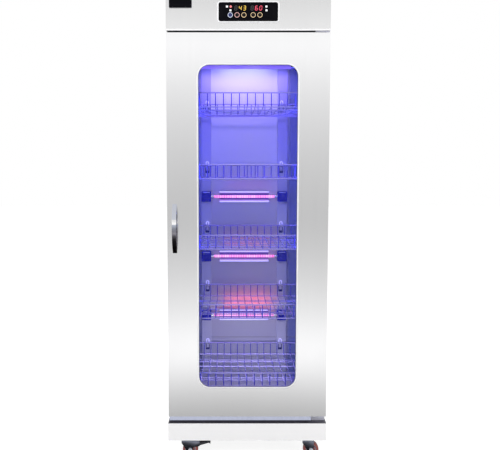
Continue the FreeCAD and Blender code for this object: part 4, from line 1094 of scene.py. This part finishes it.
def make_fittings():
    """Copies of the CAD's small fittings, with their edges rounded."""
    for name, node, edge, steps, finish, slot in (
            ("hinge_arms", "hinge_brackets", 0.0004, 2, "hinge_steel", "zinc_fittings"),
            ("gland_nut", "cord_gland", 0.0008, 2, "black_plastic", "dark_plastic"),
            ("ballast_case", "uv_ballast", 0.003, 3, "ballast", "ballast")):
        piece(name, eased(node, edge, steps), "cabinet", finish, [node])


make_baskets()
make_hooks()
make_lamps()
make_window()
make_handle()
make_gasket()
make_controls()
make_trim()
make_badge()
make_castors()
make_screws()
make_fittings()


# ------------------------------------------------------------------ floor, light and camera

def make_floor():
    """A pale floor that keeps the cabinet's shadow and shows as nearly white."""
    work = bmesh.new()
    bmesh.ops.create_grid(work, x_segments=2, y_segments=2, size=14)
    floor = link("floor", plain_mesh("floor", work))
    f = Finish("pale_floor")
    seen, through = f.node("ShaderNodeLightPath",
                           output=("Is Camera Ray", "Is Transmission Ray"))
    paint = f.node("ShaderNodeBsdfDiffuse", None, {"Color": (0.80, 0.80, 0.80, 1)})
    glow = f.node("ShaderNodeEmission", None, {"Color": (1, 1, 1, 1), "Strength": 1.55})
    mixed = f.node("ShaderNodeMixShader", None, {0: (seen + through) * 0.55, 1: paint, 2: glow})
    f.node("ShaderNodeOutputMaterial", None, {"Surface": mixed})
    floor.data.materials.append(f.material)
    floor.visible_glossy = False


REFLECTED = [  # how far up a reflection looks, from -1 to 1, and how bright the studio is there
    (-1.00, 0.03), (-0.64, 0.05), (-0.50, 0.22), (-0.45, 0.40), (-0.418, 0.45), (-0.400, 0.58),
    (-0.383, 0.745), (-0.365, 0.94), (-0.346, 1.15), (-0.327, 1.32), (-0.308, 1.15),
    (-0.268, 0.92), (-0.227, 0.80), (-0.185, 0.70), (-0.141, 0.62), (-0.097, 0.545),
    (-0.052, 0.585), (-0.006, 0.625), (0.039, 0.68), (0.084, 0.745), (0.128, 0.825),
    (0.172, 0.93), (0.215, 1.10), (0.236, 1.34), (0.248, 1.12), (0.262, 0.83), (0.30, 0.77),
    (0.45, 0.76), (1.00, 0.72)]


def make_world():
    """A studio that is white to the eye, banded in reflections and plain grey as a light."""
    world = bpy.data.worlds.new("studio")
    bpy.context.scene.world = world
    world.use_nodes = True
    w = Tree(world.node_tree)
    seen, through, gloss = w.node("ShaderNodeLightPath", output=(
        "Is Camera Ray", "Is Transmission Ray", "Is Glossy Ray"))
    up = w.parts(w.node("ShaderNodeTexCoord", output="Generated"))[2]
    stops = [(height * 0.5 + 0.5, (bright, bright, bright * 1.004))
             for height, bright in REFLECTED]
    bands = w.node("ShaderNodeValToRGB", {"stops": stops}, {0: up * 0.5 + 0.5})
    shown = w.mix(seen + through, w.mix(gloss, (0.62, 0.62, 0.63), bands), (1, 1, 1))
    light = w.node("ShaderNodeBackground", None, {"Color": shown, "Strength": 1.0})
    w.node("ShaderNodeOutputWorld", None, {"Surface": light})


def lamp(name, place, target, size, power, colour=(1, 1, 1), glossy=True):
    """A soft rectangular lamp that points at a target."""
    data = bpy.data.lights.new(name, "AREA")
    data.shape, (data.size, data.size_y) = "RECTANGLE", size
    data.energy, data.color = power, colour
    made = link(name, data)
    made.location = place
    way = Vector(target) - Vector(place)
    made.rotation_euler = way.to_track_quat("-Z", "Y").to_euler()
    made.visible_glossy, made.visible_camera = glossy, False


def make_light():
    """Three studio lamps, and inside the chamber the light of its own tubes."""
    for name, place, height, size, power in (
            ("key", (-2.2, -2.8, 3.2), 0.9, (2.2, 2.2), 66),
            ("fill", (2.6, -2.2, 1.8), 0.9, (2.0, 2.4), 33),
            ("back", (0.5, 3.0, 2.8), 1.0, (2.4, 1.6), 30)):
        lamp(name, place, (0, 0, height), size, power, glossy=False)
    violet, blue, red = (0.60, 0.46, 1.0), (0.10, 0.12, 1.0), (1.0, 0.06, 0.02)
    lamp("tube_down", (0, 0.10, 1.585), (0, 0.18, 1.2), (0.42, 0.04), 0.92, violet)
    lamp("tube_glow", (0, 0.165, 1.615), (0, BACK_WALL, 1.57), (0.22, 0.02), 0.070,
         (0.76, 0.82, 1.0))
    lamp("tube_back", (0, 0.140, 1.60), (0, BACK_WALL, 1.50), (0.44, 0.04), 0.10,
         (0.42, 0.36, 1.0))
    for side, share in ((-1, 1.1), (1, 0.7)):
        for z, power in ((0.45, 0.05), (0.85, 0.26), (1.25, 0.56)):
            lamp(f"blue_{side}_{z}", (side * 0.235, -0.19, z), (side * 0.05, BACK_WALL, z),
                 (0.05, 0.36), power * share, blue)
    for level, power in ((2, 0.105), (3, 0.030), (4, 0.008)):
        z = heater_axis(level)
        lamp(f"heat_{level}", (0.02, 0.185, z + 0.046), (0.02, BACK_WALL, z + 0.075),
             (0.22, 0.016), power, red)
    lamp("low", (0, -0.12, 0.36), (0, BACK_WALL, 0.20), (0.40, 0.08), 0.42, (1.0, 0.93, 1.0))


def make_camera():
    """A camera on the door's side, above the cabinet's middle height and tilted a little down."""
    away, side, height, tilt = 2.05, -0.077, 1.150, math.radians(3.823)
    data = bpy.data.cameras.new("camera")
    data.lens, data.sensor_width = 38.636, 36.0
    data.shift_x, data.shift_y = 0.0446, -0.040
    data.clip_start, data.clip_end = 0.05, 60
    made = link("camera", data)
    made.location = (side, DOOR_FACE - away, height)
    made.rotation_euler = (math.pi / 2 - tilt, 0, 0)
    bpy.context.scene.camera = made


make_floor()
make_world()
make_light()
make_camera()
bpy.context.scene.view_settings.view_transform = "Standard"
